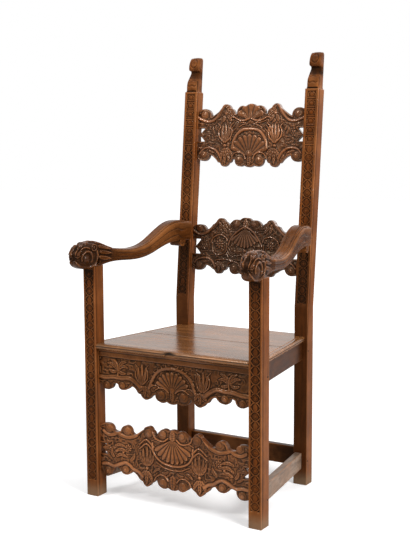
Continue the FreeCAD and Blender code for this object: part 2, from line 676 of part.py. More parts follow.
def arm_section(station, underside, top, half_width, roundness):
    """A rounded rectangle across the arm, in the axes of the chair's side."""
    run = size("arm_reach") + size("frame_depth") / size(f"cos({side_angle})")
    y = station * run - size("arm_reach")
    rise = size("arm_height")
    centre = -size("post_width") / 2
    half = half_width * size("arm_width") / 2
    inner, outer = centre - half, centre + half
    low = size("post_height") + underside * rise
    high = size("post_height") + top * rise
    corner = roundness * min(half, (high - low) / 2)
    slack = corner * (1 - 0.5 ** 0.5)
    edges = []
    ring = [
        ((inner, high - corner), (inner + slack, high - slack), (inner + corner, high)),
        ((outer - corner, high), (outer - slack, high - slack), (outer, high - corner)),
        ((outer, low + corner), (outer - slack, low + slack), (outer - corner, low)),
        ((inner + corner, low), (inner + slack, low + slack), (inner, low + corner)),
    ]
    for turn, following in zip(ring, ring[1:] + ring[:1]):
        bend = [FreeCAD.Vector(x, y, z) for x, z in turn]
        edges.append(Part.Arc(*bend).toShape())
        onward = FreeCAD.Vector(following[0][0], y, following[0][1])
        edges.append(Part.LineSegment(bend[-1], onward).toShape())
    return Part.Wire(edges)


def arm():
    """An arm in the round: a head at the front, a dip, and a rise to the stile."""
    sweep = doc.addObject("Part::Feature", "arm_sweep")
    sweep.Shape = Part.makeLoft([arm_section(*shares) for shares in arm_section_shares], True, False)
    place(sweep, ("0", "0", "0"), SIDE)
    ear_back = f"frame_depth / cos({side_angle}) - arm_ear_set_forward"
    ear = round_bar("arm_ear", "arm_ear_radius", "arm_ear_width",
                    ("(arm_ear_width - post_width) / 2", ear_back, "post_height + arm_ear_rise"),
                    *INWARD, axes=SIDE)
    behind = block("arm_end_waste", (inner_rear + " - overrun", "0", "0"),
                   ("front_width", "front_width", "stile_rise"), RAKED)
    under = block("arm_seat_waste", (f"{inner_front} - overrun", "0", "post_height - overrun"),
                  ("front_width", "post_depth + fit_clearance", "overrun"))
    socket = block("arm_socket", ("front_width / 2 - (post_width + arm_tenon_side) / 2",
                                  "(post_depth - arm_tenon_side) / 2", "post_height - overrun"),
                   ("arm_tenon_side", "arm_tenon_side", "arm_tenon_height + overrun"),
                   grow="fit_clearance")
    return cut("arm_shape", fused("arm_body", sweep, ear), behind, under, socket)


arm_tenon_corner = ("rear_width / 2 - (stile_width + tenon_thickness) / 2", "-tenon_root",
                    "(post_height - kink_height) / cos(rake_angle) + arm_height / 2")
arm_tenon_extent = ("tenon_thickness", "tenon_root + arm_tenon_length", "arm_tenon_rise")
arm_blank = fused("arm_blank", arm(), block("arm_tenon", arm_tenon_corner, arm_tenon_extent, RAKED))
arm_mortise = block("arm_mortise", arm_tenon_corner, arm_tenon_extent, RAKED, "fit_clearance")

# Pegs: each crosses one tenon, driven from the face of the post that the tenon runs along


def board_pegs(name, inner, corner, height, tenon_shares, axes=UPRIGHT):
    """One peg through each right-hand tenon of a carved board, driven from the front."""
    pegs, holes = [], []
    for count, (low_share, high_share) in enumerate(tenon_shares, start=1):
        level = f"{corner} + {height} * ({low_share} + {high_share}) / 2"
        start = (f"{inner} + tenon_length / 2", "0", level)
        peg, hole = pegged(f"{name}_peg_{count}", start, BACKWARD, axes=axes)
        pegs.append(peg)
        holes.append(hole)
    return pegs, holes


crest_pegs, crest_holes = board_pegs("crest", inner_rear, crest_rise, "crest_height",
                                     crest_tenon_shares, RAKED)
lower_pegs, lower_holes = board_pegs("lower_splat", inner_rear, "lower_splat_rise",
                                     "lower_splat_height", lower_tenon_shares, RAKED)
apron_pegs, apron_holes = board_pegs("apron", inner_front, f"{seat_underside} - apron_height",
                                     "apron_height", apron_tenon_shares)
stretcher_pegs, stretcher_holes = board_pegs("front_stretcher", inner_front, "front_stretcher_bottom",
                                             "front_stretcher_height", stretcher_tenon_shares)


def side_pegs(name, level):
    """A peg through each end of a side member, driven from the outer faces."""
    front = ("front_width / 2", "post_depth - side_tenon_length / 2", level)
    rear = ("rear_width / 2", "frame_depth + side_tenon_length / 2", level)
    return (pegged(f"{name}_front_peg", front, INWARD, "side_peg_length"),
            pegged(f"{name}_rear_peg", rear, INWARD, "side_peg_length"))


rail_front, rail_rear = side_pegs("side_rail", f"{side_rail_bottom} + side_rail_height / 2")
bar_front, bar_rear = side_pegs("side_stretcher", "side_stretcher_bottom + side_stretcher_height / 2")
arm_rear_peg, arm_rear_hole = pegged(
    "arm_rear_peg", ("rear_width / 2", "arm_tenon_length / 2",
                     f"{arm_tenon_corner[2]} + arm_tenon_rise / 2"),
    INWARD, "arm_rear_peg_length", RAKED)
arm_front_peg, arm_front_hole = pegged(
    "arm_front_peg", ("(arm_tenon_side - post_width) / 2 + peg_diameter", "post_depth / 2",
                      "post_height + arm_tenon_height / 2"),
    INWARD, "(arm_width + arm_tenon_side) / 2 + peg_diameter", SIDE)


def rear_peg(name, level):
    """A peg through the right-hand end of a rear member, driven from behind."""
    start = (f"{inner_rear} + tenon_length / 2", "frame_depth + stile_depth - rear_peg_length", level)
    return pegged(name, start, BACKWARD, "rear_peg_length")


rear_rail_peg, rear_rail_hole = rear_peg("rear_rail_peg", f"{rear_rail_bottom} + rear_rail_height / 2")
rear_bar_peg, rear_bar_hole = rear_peg("rear_stretcher_peg",
                                       "rear_stretcher_bottom + rear_stretcher_height / 2")

# Seat


def outboard(name, inset):
    """All that lies outside a line along the right-hand side of the seat."""
    return block(name, (f"-({inset})", "-overrun", "0"), ("front_width", side_reach, "post_height"), SIDE)


def seat_board(name, front, back, *notches):
    """A seat plank between the side mouldings, cut round the posts."""
    plank = block(f"{name}_plank", ("-front_width / 2", front, seat_underside),
                  ("front_width", f"{back} - ({front})", "seat_thickness"))
    side = outboard(f"{name}_side", "moulding_inset + moulding_width")
    tools = [side, *notches]
    left = [mirrored(f"{tool.Name}_left", tool) for tool in tools]
    return cut(f"{name}_shape", plank, *tools, *left)


post_notch = block("post_notch", (inner_front, "-overrun", seat_underside),
                   ("front_width", "post_depth + overrun", "seat_thickness"), grow="fit_clearance")
stile_notch = block("stile_notch", (inner_rear, "frame_depth", seat_underside),
                    ("front_width", "stile_depth + overrun", "seat_thickness"), grow="fit_clearance")
front_plank = seat_board("seat_front", "front_moulding_width", "seat_joint", post_notch)
rear_plank = seat_board("seat_rear", "seat_joint", "frame_depth + stile_depth", stile_notch)


def moulding_edges(back, nose):
    """A strip in section: square at the back and rounded to a nose at the front."""
    high = size("seat_thickness")
    flat = nose - high / 2 if nose > back else nose + high / 2
    return [line((back, 0), (back, high)), line((back, high), (flat, high)),
            arc((flat, high), (nose, high / 2), (flat, 0)), line((flat, 0), (back, 0))]


front_strip = place(
    profile_body("front_strip", "YZ_Plane", moulding_edges(size("front_moulding_width"), 0),
                 f"2 * {inner_front}", symmetric=True),
    ("0", "0", seat_underside))
finger_notch = round_bar(
    "finger_notch", "finger_notch_radius", "overrun + finger_notch_depth",
    ("0", "-overrun", "seat_height - finger_notch_drop - finger_notch_radius"), *BACKWARD)
side_nose = size("-moulding_inset")
side_back = size("-moulding_inset - moulding_width")
side_strip = place(
    profile_body("side_strip", "XZ_Plane", moulding_edges(side_back, side_nose), side_reach, reverse=True),
    ("0", "-overrun", seat_underside), SIDE)

# Glue blocks in the angle between the seat and what carries it


def side_glue_block(name, level):
    return block(name, ("-rail_inset - rail_thickness - glue_block_side",
                        f"{level} - glue_block_length / 2", f"{seat_underside} - glue_block_side"),
                 ("glue_block_side", "glue_block_length", "glue_block_side"), SIDE)


def cross_glue_block(name, front):
    return block(name, ("-glue_block_length / 2", front, f"{seat_underside} - glue_block_side"),
                 ("glue_block_length", "glue_block_side", "glue_block_side"))


side_blocks = [side_glue_block("glue_block_side_front", "(post_depth + seat_joint) / 2"),
               side_glue_block("glue_block_side_rear", "(seat_joint + frame_depth) / 2")]
cross_blocks = [cross_glue_block("glue_block_front", "board_set_back + board_thickness"),
                cross_glue_block("glue_block_rear", "frame_depth + stile_depth - rear_rail_thickness"
                                                    " - fit_clearance - glue_block_side")]

# The finished pieces, right-hand or central, and then the left-hand ones

both_sides = {}
both_sides["front_post"] = cut(
    "front_post", post_blank, *apron_mortises, *stretcher_mortises, side_rail_mortise,
    side_stretcher_mortise, *apron_holes, *stretcher_holes, rail_front[1], bar_front[1], arm_front_hole)
both_sides["rear_stile"] = cut(
    "rear_stile", stile_blank, *crest_mortises, *lower_mortises, side_rail_mortise, side_stretcher_mortise,
    rear_rail_mortise, rear_stretcher_mortise, arm_mortise, *crest_holes, *lower_holes, rail_rear[1],
    bar_rear[1], rear_rail_hole, rear_bar_hole, arm_rear_hole)
both_sides["arm"] = cut("arm", arm_blank, arm_front_hole, arm_rear_hole)
both_sides["side_seat_rail"] = cut("side_seat_rail", side_rail_blank, rail_front[1], rail_rear[1])
both_sides["side_stretcher"] = cut("side_stretcher", side_stretcher_blank, bar_front[1], bar_rear[1])
both_sides["side_moulding"] = shared("side_moulding", side_strip, bay_block("side_strip_bay", "0"))


def drilled(name, blank, holes):
    """A member that runs from side to side, with the peg holes at both of its ends."""
    right = group(f"{name}_holes_right", *holes)
    return cut(name, blank, *holes, mirrored(f"{name}_holes_left", right))


def peg_set(name, *pegs):
    """The pegs of one family of joints, on both sides of the chair."""
    right = group(f"{name}_right", *pegs)
    return group(name, right, mirrored(f"{name}_left", right))


central = {
    "crest_board": drilled("crest_board", crest_blank, crest_holes),
    "lower_splat": drilled("lower_splat_board", lower_blank, lower_holes),
    "front_apron": drilled("front_apron", apron_blank, apron_holes),
    "front_stretcher": drilled("front_stretcher_board", stretcher_blank, stretcher_holes),
    "rear_seat_rail": drilled("rear_seat_rail", rear_rail_blank, [rear_rail_hole]),
    "rear_stretcher": drilled("rear_stretcher", rear_stretcher_blank, [rear_bar_hole]),
    "seat_board_front": front_plank,
    "seat_board_rear": rear_plank,
    "front_moulding": cut("front_moulding", front_strip, finger_notch),
    "glue_blocks": group("glue_blocks", *side_blocks, *cross_blocks,
                         *(mirrored(f"{piece.Name}_left", piece) for piece in side_blocks)),
    "crest_pegs": peg_set("crest_pegs", *crest_pegs),
    "lower_splat_pegs": peg_set("lower_splat_pegs", *lower_pegs),
    "apron_pegs": peg_set("apron_pegs", *apron_pegs),
    "front_stretcher_pegs": peg_set("front_stretcher_pegs", *stretcher_pegs),
    "side_rail_pegs": peg_set("side_rail_pegs", rail_front[0], rail_rear[0]),
    "side_stretcher_pegs": peg_set("side_stretcher_pegs", bar_front[0], bar_rear[0]),
    "rear_rail_pegs": peg_set("rear_rail_pegs", rear_rail_peg),
    "rear_stretcher_pegs": peg_set("rear_stretcher_pegs", rear_bar_peg),
    "arm_pegs": peg_set("arm_pegs", arm_front_peg, arm_rear_peg),
}

parts = dict(central)
for name, feature in both_sides.items():
    parts[f"{name}_right"] = feature
    parts[f"{name}_left"] = mirrored(f"{name}_left", feature)
for name, feature in parts.items():
    feature.Label = name

doc.recompute()
for feature in doc.Objects:
    if "Invalid" in feature.State or "Error" in feature.State:
        raise RuntimeError(f"{feature.Name} did not build: {feature.State}")
for name, feature in parts.items():
    if feature.Shape.isNull() or not feature.Shape.isValid() or not feature.Shape.Solids:
        raise RuntimeError(f"{name} has no valid solid")

os.makedirs("parts", exist_ok=True)
for name, feature in parts.items():
    feature.Shape.exportStep(f"parts/{name}.step")
    print(f"{name}: {len(feature.Shape.Solids)} solid(s), {feature.Shape.Volume / 1000:.1f} cm3")
whole = Part.makeCompound([feature.Shape for feature in parts.values()])
print("overall", whole.BoundBox)
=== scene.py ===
import math

import bmesh
import bpy
import numpy as np
from bpy.props import FloatProperty, FloatVectorProperty, PointerProperty
from mathutils import Matrix, Vector, kdtree


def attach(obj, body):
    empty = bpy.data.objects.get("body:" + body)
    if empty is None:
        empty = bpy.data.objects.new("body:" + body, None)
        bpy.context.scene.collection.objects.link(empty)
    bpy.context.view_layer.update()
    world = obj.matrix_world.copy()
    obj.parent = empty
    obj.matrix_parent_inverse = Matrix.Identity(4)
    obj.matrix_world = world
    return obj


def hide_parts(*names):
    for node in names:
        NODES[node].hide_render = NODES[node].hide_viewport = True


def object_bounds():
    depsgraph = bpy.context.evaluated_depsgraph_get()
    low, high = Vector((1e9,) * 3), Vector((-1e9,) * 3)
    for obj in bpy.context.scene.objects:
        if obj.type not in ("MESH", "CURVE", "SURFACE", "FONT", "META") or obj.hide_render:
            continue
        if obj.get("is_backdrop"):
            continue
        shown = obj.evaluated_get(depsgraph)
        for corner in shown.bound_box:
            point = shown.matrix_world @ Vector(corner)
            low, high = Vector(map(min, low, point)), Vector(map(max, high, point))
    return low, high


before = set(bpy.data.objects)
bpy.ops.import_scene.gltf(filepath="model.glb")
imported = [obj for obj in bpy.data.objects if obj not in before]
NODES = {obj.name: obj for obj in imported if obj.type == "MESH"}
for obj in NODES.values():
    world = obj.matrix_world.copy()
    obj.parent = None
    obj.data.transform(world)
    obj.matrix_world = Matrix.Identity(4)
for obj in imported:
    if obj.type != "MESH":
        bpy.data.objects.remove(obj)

bl_info = {
    "name": "Carved joined armchair",
    "version": (1, 0, 0),
    "blender": (4, 5, 0),
    "location": "3D View > Sidebar > Armchair",
    "description": "Carves and finishes a joined armchair over its frame",
    "category": "Add Mesh",
}

SIDES = (("right", 1), ("left", -1))
CAD_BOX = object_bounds()

# Metres in a millimetre, the unit of every motif
MM = 0.001

# From the chair's middle to where the boards meet posts and stiles, and to the middle of those
SPLAT_END, BOARD_END = 188.6, 253.0
POST_MIDDLE, STILE_MIDDLE = 273.5, 211.0

# Half the width of the carved strips, and where the apron's upper edge is plain
STRIP_HALF, APRON_TOP = 14.0, 136.0

# Triangles left on a piece of each kind
TRIANGLES = {"board": 150000, "post": 80000, "arm": 130000, "plain": 30000}

# How far behind or before the front of a post its strip is looked for
STRIP_REACH = 2.5

# How high a stile's leaning front begins, and over its foot the first barred panel and the finial
LEANING_FROM = 0.6
BARS_FROM, FINIAL_FROM = 480, 655


# Sizes and colours

def length(name, description, default):
    return FloatProperty(name=name, description=description, default=default, unit="LENGTH")


def tone(name, description, default):
    return FloatVectorProperty(name=name, description=description, default=default, subtype="COLOR")


class ArmchairCarving(bpy.types.PropertyGroup):
    """Depths and grain of the carving."""

    splat_depth: length("Splat depth", "How deep the ground of the boards is cut", 0.0078)
    strip_depth: length("Strip depth", "How deep the strips on the posts are cut", 0.0021)
    board_voxel: length("Board detail", "Mesh size on the carved boards", 0.00115)
    post_voxel: length("Post detail", "Mesh size on posts and stiles", 0.0011)
    arm_voxel: length("Arm detail", "Mesh size on the arms", 0.00105)
    plain_voxel: length("Plain detail", "Mesh size on plain members", 0.0016)
    ground_level: length("Ground level", "Just behind the ground of the frame's boards", 0.0053)
    head_depth: length("Head depth", "How deep the heads on the arms are cut", 0.0082)
    tool_marks: length("Tool marks", "Unevenness left by the carver's gouge", 0.00022)


class ArmchairFinish(bpy.types.PropertyGroup):
    """Colours of the old waxed wood."""

    # Also the colour of the painted shade under the arms and heads, in the nosing groove and in the finger
    # notch
    recess: tone("Recess", "Wax and dirt in the hollows", (0.016, 0.0060, 0.0026))
    dark: tone("Dark wood", "Dark streaks", (0.050, 0.0135, 0.0032))
    brown: tone("Brown wood", "The usual surface", (0.158, 0.0400, 0.0070))
    # Also the colour of the painted highlights on the arms' tops and the posts' right faces
    worn: tone("Worn wood", "Rubbed edges and tops", (0.40, 0.150, 0.045))
    seat: tone("Seat", "Greyish-brown of the planks", (0.250, 0.104, 0.036))
    carved: tone("Carved boards", "Duller brown of the carved boards", (0.118, 0.0385, 0.0115))
    arm: tone("Arms", "Dark brown of the arms and their heads", (0.098, 0.0290, 0.0060))
    dusty: tone("Dusty wood", "Unpolished side members", (0.30, 0.205, 0.145))
    bleached: tone("Bleached foot", "Dry wood at the feet", (0.24, 0.16, 0.095))


def carving():
    return bpy.context.scene.armchair_carving


# Shader building

class Value:
    """A number socket in a node tree, on which ordinary sums can be written."""

    def __init__(self, shader, socket):
        self.shader, self.socket = shader, socket

    def maths(self, operation, other, clamp=False):
        settings = {"operation": operation, "use_clamp": clamp}
        return self.shader.add("ShaderNodeMath", settings, {0: self, 1: other}).out()

    def __add__(self, other): return self.maths("ADD", other)
    def __sub__(self, other): return self.maths("SUBTRACT", other)
    def __mul__(self, other): return self.maths("MULTIPLY", other)
    def __rsub__(self, other): return self * -1.0 + other
    __radd__, __rmul__ = __add__, __mul__

    def clamp(self):
        return self.maths("ADD", 0.0, clamp=True)

    def above(self, low, high):
        """0 under low, 1 over high, with a smooth rise between."""
        return self.shader.add("ShaderNodeMapRange", {"interpolation_type": "SMOOTHSTEP"},
                               {0: self, 1: low, 2: high, 3: 0.0, 4: 1.0}).out()


class Made:
    """A node that has been added, with its outputs by name or number."""

    def __init__(self, shader, node):
        self.shader, self.node = shader, node

    def out(self, key=0):
        return Value(self.shader, self.node.outputs[key])


class Shader:
    """The node tree of a material or a world."""

    def __init__(self, owner):
        owner.use_nodes = True
        self.owner, self.tree = owner, owner.node_tree
        self.tree.nodes.clear()

    def add(self, kind, settings=None, inputs=None):
        node = self.tree.nodes.new(kind)
        for name, setting in (settings or {}).items():
            setattr(node, name, setting)
        for key, given in (inputs or {}).items():
            if isinstance(given, Value):
                self.tree.links.new(given.socket, node.inputs[key])
            else:
                node.inputs[key].default_value = given
        return Made(self, node)

    def mix(self, factor, first, second, blend="MIX"):
        """A colour between two colours."""
        first, second = (given if isinstance(given, Value) else (*given, 1.0) for given in (first, second))
        return self.add("ShaderNodeMix", {"data_type": "RGBA", "blend_type": blend},
                        {0: factor, 6: first, 7: second}).out(2)

    def noise(self, where, scale, detail=4.0, roughness=0.55, distortion=0.0):
        return self.add("ShaderNodeTexNoise", {},
                        {"Vector": where, "Scale": scale, "Detail": detail, "Roughness": roughness,
                         "Distortion": distortion}).out()

    def stretched(self, where, along, lengthwise, across):
        """Places drawn out along the grain."""
        scale = [lengthwise if axis == along else across for axis in "XYZ"]
        return self.add("ShaderNodeMapping", {}, {"Vector": where, "Scale": scale}).out()

    def attribute(self, name):
        return self.add("ShaderNodeAttribute", {"attribute_name": name}).out("Fac")


def wood(name, along, tint=(1.0, 1.0, 1.0), pale=0.0, gloss=0.36, base="brown", shine=0.18, rub_and_highlight=0.85,
         warmth=(1.0, 0.60, 0.32), crown=0.0, glint=0.0):
    """Old waxed wood whose grain runs along one axis, darker in hollows and rubbed on edges.

    The crown is a coat on the heads alone, and the glint a coat on worn edges and painted highlights.
    """
    colours = bpy.context.scene.armchair_finish
    ground, dark, worn = (tuple(getattr(colours, key)) for key in (base, "dark", "worn"))
    s = Shader(bpy.data.materials.new(name))
    place = s.add("ShaderNodeTexCoord").out("Object")
    figure = s.noise(s.stretched(place, along, 5.0, 60.0), 1.0, 5.0, 0.6, 0.6)
    streak = s.noise(s.stretched(place, along, 14.0, 420.0), 1.0, 3.0, 0.6)
    patina = s.noise(place, 9.0, 4.0, 0.6)
    blotch = s.noise(place, 34.0, 5.0, 0.65)
    speck = s.noise(place, 240.0, 3.0, 0.7)
    smoke = s.noise(place, 20.0, 3.0, 0.6)
    recess, wear = s.attribute("recess"), s.attribute("wear")

    streaks = (figure * 0.65 + streak * 0.35).above(0.40, 0.60)
    colour = s.mix(streaks, tuple(c * 0.46 for c in ground), ground)
    light = tuple(g + (w - g) * 0.42 for g, w in zip(ground, worn))
    colour = s.mix((patina.above(0.45, 0.72) * 0.55 + pale).clamp(), colour, light)
    colour = s.mix(blotch.above(0.52, 0.75) * 0.30, colour, dark)
    colour = s.mix(smoke.above(0.50, 0.70) * 0.45, colour, tuple(c * 0.45 for c in ground))
    rubbed_and_highlight = (wear * (patina.above(0.36, 0.60) * 0.60 + 0.55)
              + (blotch - 0.5) * 0.35 * wear.above(0.05, 0.3)).clamp()
    colour = s.mix(rubbed_and_highlight * rub_and_highlight, colour, worn)
    colour = s.mix(streak.above(0.60, 0.74) * 0.35, colour, dark)
    dirt_and_shade = (recess * (0.85 + speck * 0.5)).clamp()
    colour = s.mix(dirt_and_shade, colour, tuple(colours.recess))
    colour = s.mix(1.0, colour, tint, "MULTIPLY")
    parts = s.add("ShaderNodeSeparateXYZ", {}, {0: place})
    behind_heads, height = parts.out(1).above(-0.225, -0.190), parts.out(2)
    foot = (1.0 - (height + (blotch - 0.5) * 0.03).above(0.006, 0.050)) * 0.62
    colour = s.mix(foot, colour, tuple(colours.bleached))

    rough = (dirt_and_shade * 0.30 + foot * 0.25 + (speck - 0.5) * 0.16 + (patina - 0.5) * 0.18 + gloss
             - wear.clamp() * 0.08).clamp()
    rise = streak * -0.35 + speck * 0.25 + blotch * 0.6 + figure * 0.4
    bump = s.add("ShaderNodeBump", {}, {"Strength": 0.30, "Distance": 0.0006, "Height": rise}).out()
    coat = ((1.0 - dirt_and_shade) * ((1.0 - behind_heads) * crown + wear.above(0.25, 0.70) * glint)).clamp()
    surface = s.add("ShaderNodeBsdfPrincipled", {},
                    {"Base Color": colour, "Roughness": rough, "Normal": bump, "Coat Roughness": 0.16,
                     "Coat Weight": coat, "Specular IOR Level": shine, "Specular Tint": (*warmth, 1.0)})
    s.add("ShaderNodeOutputMaterial", {}, {"Surface": surface.out()})
    return s.owner


FINISHES = {
    "post": dict(along="Z", pale=0.06, shine=0.12, glint=0.35),
    "crest": dict(along="X", tint=(1.12, 1.05, 1.10), gloss=0.22, base="carved", shine=0.50, rub_and_highlight=0.70,
                  warmth=(1.0, 0.68, 0.44), glint=0.60),
    # The splat's darker tint is painted shade: it sits in the arms' shadow
    "splat": dict(along="X", tint=(0.56, 0.54, 0.60), gloss=0.22, base="carved", shine=0.42, rub_and_highlight=0.70,
                  warmth=(1.0, 0.68, 0.44), glint=0.60),
    # The apron's darker tint is painted shade under the seat's overhang
    "apron": dict(along="X", tint=(0.92, 0.85, 0.77), gloss=0.27, base="carved", shine=0.30, rub_and_highlight=0.68,
                  glint=0.38),
    "stretcher": dict(along="X", tint=(1.35, 1.28, 1.30), gloss=0.27, base="carved", shine=0.42,
                      pale=0.08, rub_and_highlight=0.68, warmth=(1.0, 0.66, 0.42), glint=0.38),
    "arm": dict(along="Y", gloss=0.26, base="arm", shine=0.09, rub_and_highlight=0.68, crown=0.45),
    "seat": dict(along="X", tint=(1.12, 1.06, 0.96), gloss=0.22, base="seat", shine=0.42, rub_and_highlight=0.5,
                 warmth=(1.0, 0.74, 0.46)),
    "moulding": dict(along="X", gloss=0.26, base="seat", shine=0.4, warmth=(1.0, 0.80, 0.62)),
    "side_member": dict(along="Y", base="dusty", shine=0.2, rub_and_highlight=0.4),
    "side_rail": dict(along="Y", tint=(0.52, 0.48, 0.44), base="carved", shine=0.12, rub_and_highlight=0.4),
    "cross_member": dict(along="X", base="dark", shine=0.2, rub_and_highlight=0.5),
    "peg": dict(along="Z", base="dark", gloss=0.45),
}
MATERIALS = {}


def finished(mesh, finish_name):
    """Give a mesh the finish of its family of pieces, made when it is first asked for."""
    if finish_name not in MATERIALS:
        MATERIALS[finish_name] = wood(f"{finish_name}_wood", **FINISHES[finish_name])
    mesh.materials.clear()
    mesh.materials.append(MATERIALS[finish_name])


# Mesh tools

def placed(name, data):
    """A new object in the scene."""
    item = bpy.data.objects.new(name, data)
    bpy.context.scene.collection.objects.link(item)
    return item


def merged_copy(node, name):
    """A copy of a frame node's mesh with its loose triangles joined, as an object of its own."""
    mesh = NODES[node].data.copy()
    work = bmesh.new()
    work.from_mesh(mesh)
    bmesh.ops.remove_doubles(work, verts=work.verts, dist=1e-6)
    work.to_mesh(mesh)
    work.free()
    return placed(name, mesh)


def applied(piece):
    """Put a piece's modifiers into its mesh."""
    graph = bpy.context.evaluated_depsgraph_get()
    mesh = bpy.data.meshes.new_from_object(piece.evaluated_get(graph))
    old = piece.data
    piece.modifiers.clear()
    piece.data = mesh
    bpy.data.meshes.remove(old)
    mesh.name = piece.name
    return piece


def remeshed(piece, voxel):
    """Even faces of one size all over a piece, with its sharp edges a little rounded."""
    change = piece.modifiers.new("even", "REMESH")
    change.mode = "VOXEL"
    change.voxel_size = voxel
    change.adaptivity = 0.0
    return applied(piece)


def thinned(piece, triangles):
    """Merge the faces of flat places until about so many triangles are left."""
    now = sum(len(polygon.vertices) - 2 for polygon in piece.data.polygons)
    if now > triangles:
        change = piece.modifiers.new("thin", "DECIMATE")
        change.ratio = triangles / now
        applied(piece)


def rows_of(items, name, width, kind=np.float32):
    """One property of all points or edges, with a row for each."""
    flat = np.empty(len(items) * width, kind)
    items.foreach_get(name, flat)
    return flat.reshape(-1, width)


def points_of(mesh):
    return rows_of(mesh.vertices, "co", 3).astype(float)


def normals_of(mesh):
    return rows_of(mesh.vertices, "normal", 3)


def edges_of(mesh):
    return rows_of(mesh.edges, "vertices", 2, np.int32)


def set_points(mesh, points):
    mesh.vertices.foreach_set("co", points.astype(np.float32).ravel())
    mesh.update()


def averaged(values, edges, rounds=1, share=0.5):
    """Each point's value drawn towards its neighbours' average."""
    count = len(values)
    first, second = edges.T
    degree = np.bincount(edges.ravel(), minlength=count).clip(1)
    columns = np.atleast_2d(values.T)
    for _ in range(rounds):
        totals = [np.bincount(first, column[second], count) + np.bincount(second, column[first], count)
                  for column in columns]
        columns = columns + share * (np.array(totals) / degree - columns)
    return columns.T.reshape(values.shape)


def softened(mesh, rounds=2, where=None):
    """Take the steps out of a remeshed surface, or round it off where a mask says so."""
    points, edges = points_of(mesh), edges_of(mesh)
    smooth = points
    for _ in range(rounds):
        smooth = averaged(smooth, edges)
        if where is None:
            smooth = averaged(smooth, edges, 1, -0.48)
    if where is not None:
        smooth = points + (smooth - points) * where[:, None]
    set_points(mesh, smooth)


def curvature(mesh, rounds):
    """How far each point stands proud of its surroundings, in millimetres."""
    points = points_of(mesh)
    around = averaged(points, edges_of(mesh), rounds, 0.8)
    return ((points - around) * normals_of(mesh)).sum(1) / MM


def evened(node, kind, voxel, rounds=2):
    """A frame node as a piece of small even faces, and its mesh."""
    piece = remeshed(merged_copy(node, f"{kind}_{node}"), voxel)
    softened(piece.data, rounds)
    return piece, piece.data


def ramp(values, none, full):
    """0 up to one value, 1 from another on, and even between, whichever of the two is higher."""
    return np.clip((values - none) / (full - none), 0, 1)


def bell(values, middle, width):
    """1 at the middle, falling away on both sides."""
    return np.exp(-((values - middle) / width) ** 2)


def hashed(points, scale, seed):
    """Smooth random values between -1 and 1 at points in space."""
    grid = np.asarray(points) * scale + seed * 17.13
    cell = np.floor(grid).astype(np.int64)
    part = grid - cell
    part = part * part * (3 - 2 * part)
    total = 0.0
    for step in np.ndindex(2, 2, 2):
        x, y, z = (cell + step).T
        mixed = (x * 73856093) ^ (y * 19349663) ^ (z * 83492791)
        mixed = (mixed ^ (mixed >> 13)) * 1274126177
        value = ((mixed ^ (mixed >> 16)) & 0xFFFF) / 32767.5 - 1.0
        total = total + value * np.where(step, part, 1 - part).prod(1)
    return total


def gouged(points):
    """The unevenness that the gouge leaves, in millimetres."""
    return (hashed(points, 420.0, 5) * 0.5 + hashed(points, 170.0, 6)) * carving().tool_marks / MM


def finish_surface(mesh, darkening, proud=1.5, sunk=1.4, worn=0.0):
    """Store grime in hollows together with painted shade, and worn edges together with painted highlights,
    from the shape of the finished surface and the masks given.
    """
    fine, broad, edges = curvature(mesh, 3), curvature(mesh, 12), edges_of(mesh)
    wear = averaged(np.clip((fine - 0.10) * proud + broad * 0.22, 0, 1), edges)
    recess = averaged(np.clip((-fine - 0.06) * sunk - broad * 0.35, 0, 1), edges)
    # The darkening given by callers holds painted shade as well as grime, and the worn share painted
    # highlights as well as rubbing
    for name, values in (("recess", np.clip(recess + darkening, 0, 1)),
                         ("wear", np.clip(wear + worn, 0, 1) * (1 - darkening))):
        layer = mesh.attributes.get(name) or mesh.attributes.new(name, "FLOAT", "POINT")
        layer.data.foreach_set("value", np.clip(values, 0.0, 1.0).astype(np.float32))


def dressed(piece, finish_name, node, kind):
    """Thin a finished piece and give it its material and its place on the chair."""
    thinned(piece, TRIANGLES[kind])
    finished(piece.data, finish_name)
    piece.data.shade_smooth()
    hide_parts(node)
    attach(piece, "root")


# Relief carving

def curve_through(points, steps=6):
    """A smooth line through points."""
    points = [np.array(point, float) for point in points]
    if len(points) < 3:
        return np.array(points)
    padded = [2 * points[0] - points[1]] + points + [2 * points[-1] - points[-2]]
    line = []
    for a, b, c, d in zip(padded, padded[1:], padded[2:], padded[3:]):
        for t in np.arange(steps) / steps:
            line.append(0.5 * (2 * b + (c - a) * t + (2 * a - 5 * b + 4 * c - d) * t * t
                               + (3 * b - a - 3 * c + d) * t ** 3))
    line.append(points[-1])
    return np.array(line)


def ring(centre, across, tall):
    """Points round an oval."""
    return [(centre[0] + across * math.cos(turn), centre[1] + tall * math.sin(turn))
            for turn in np.linspace(0, 2 * math.pi, 13)]


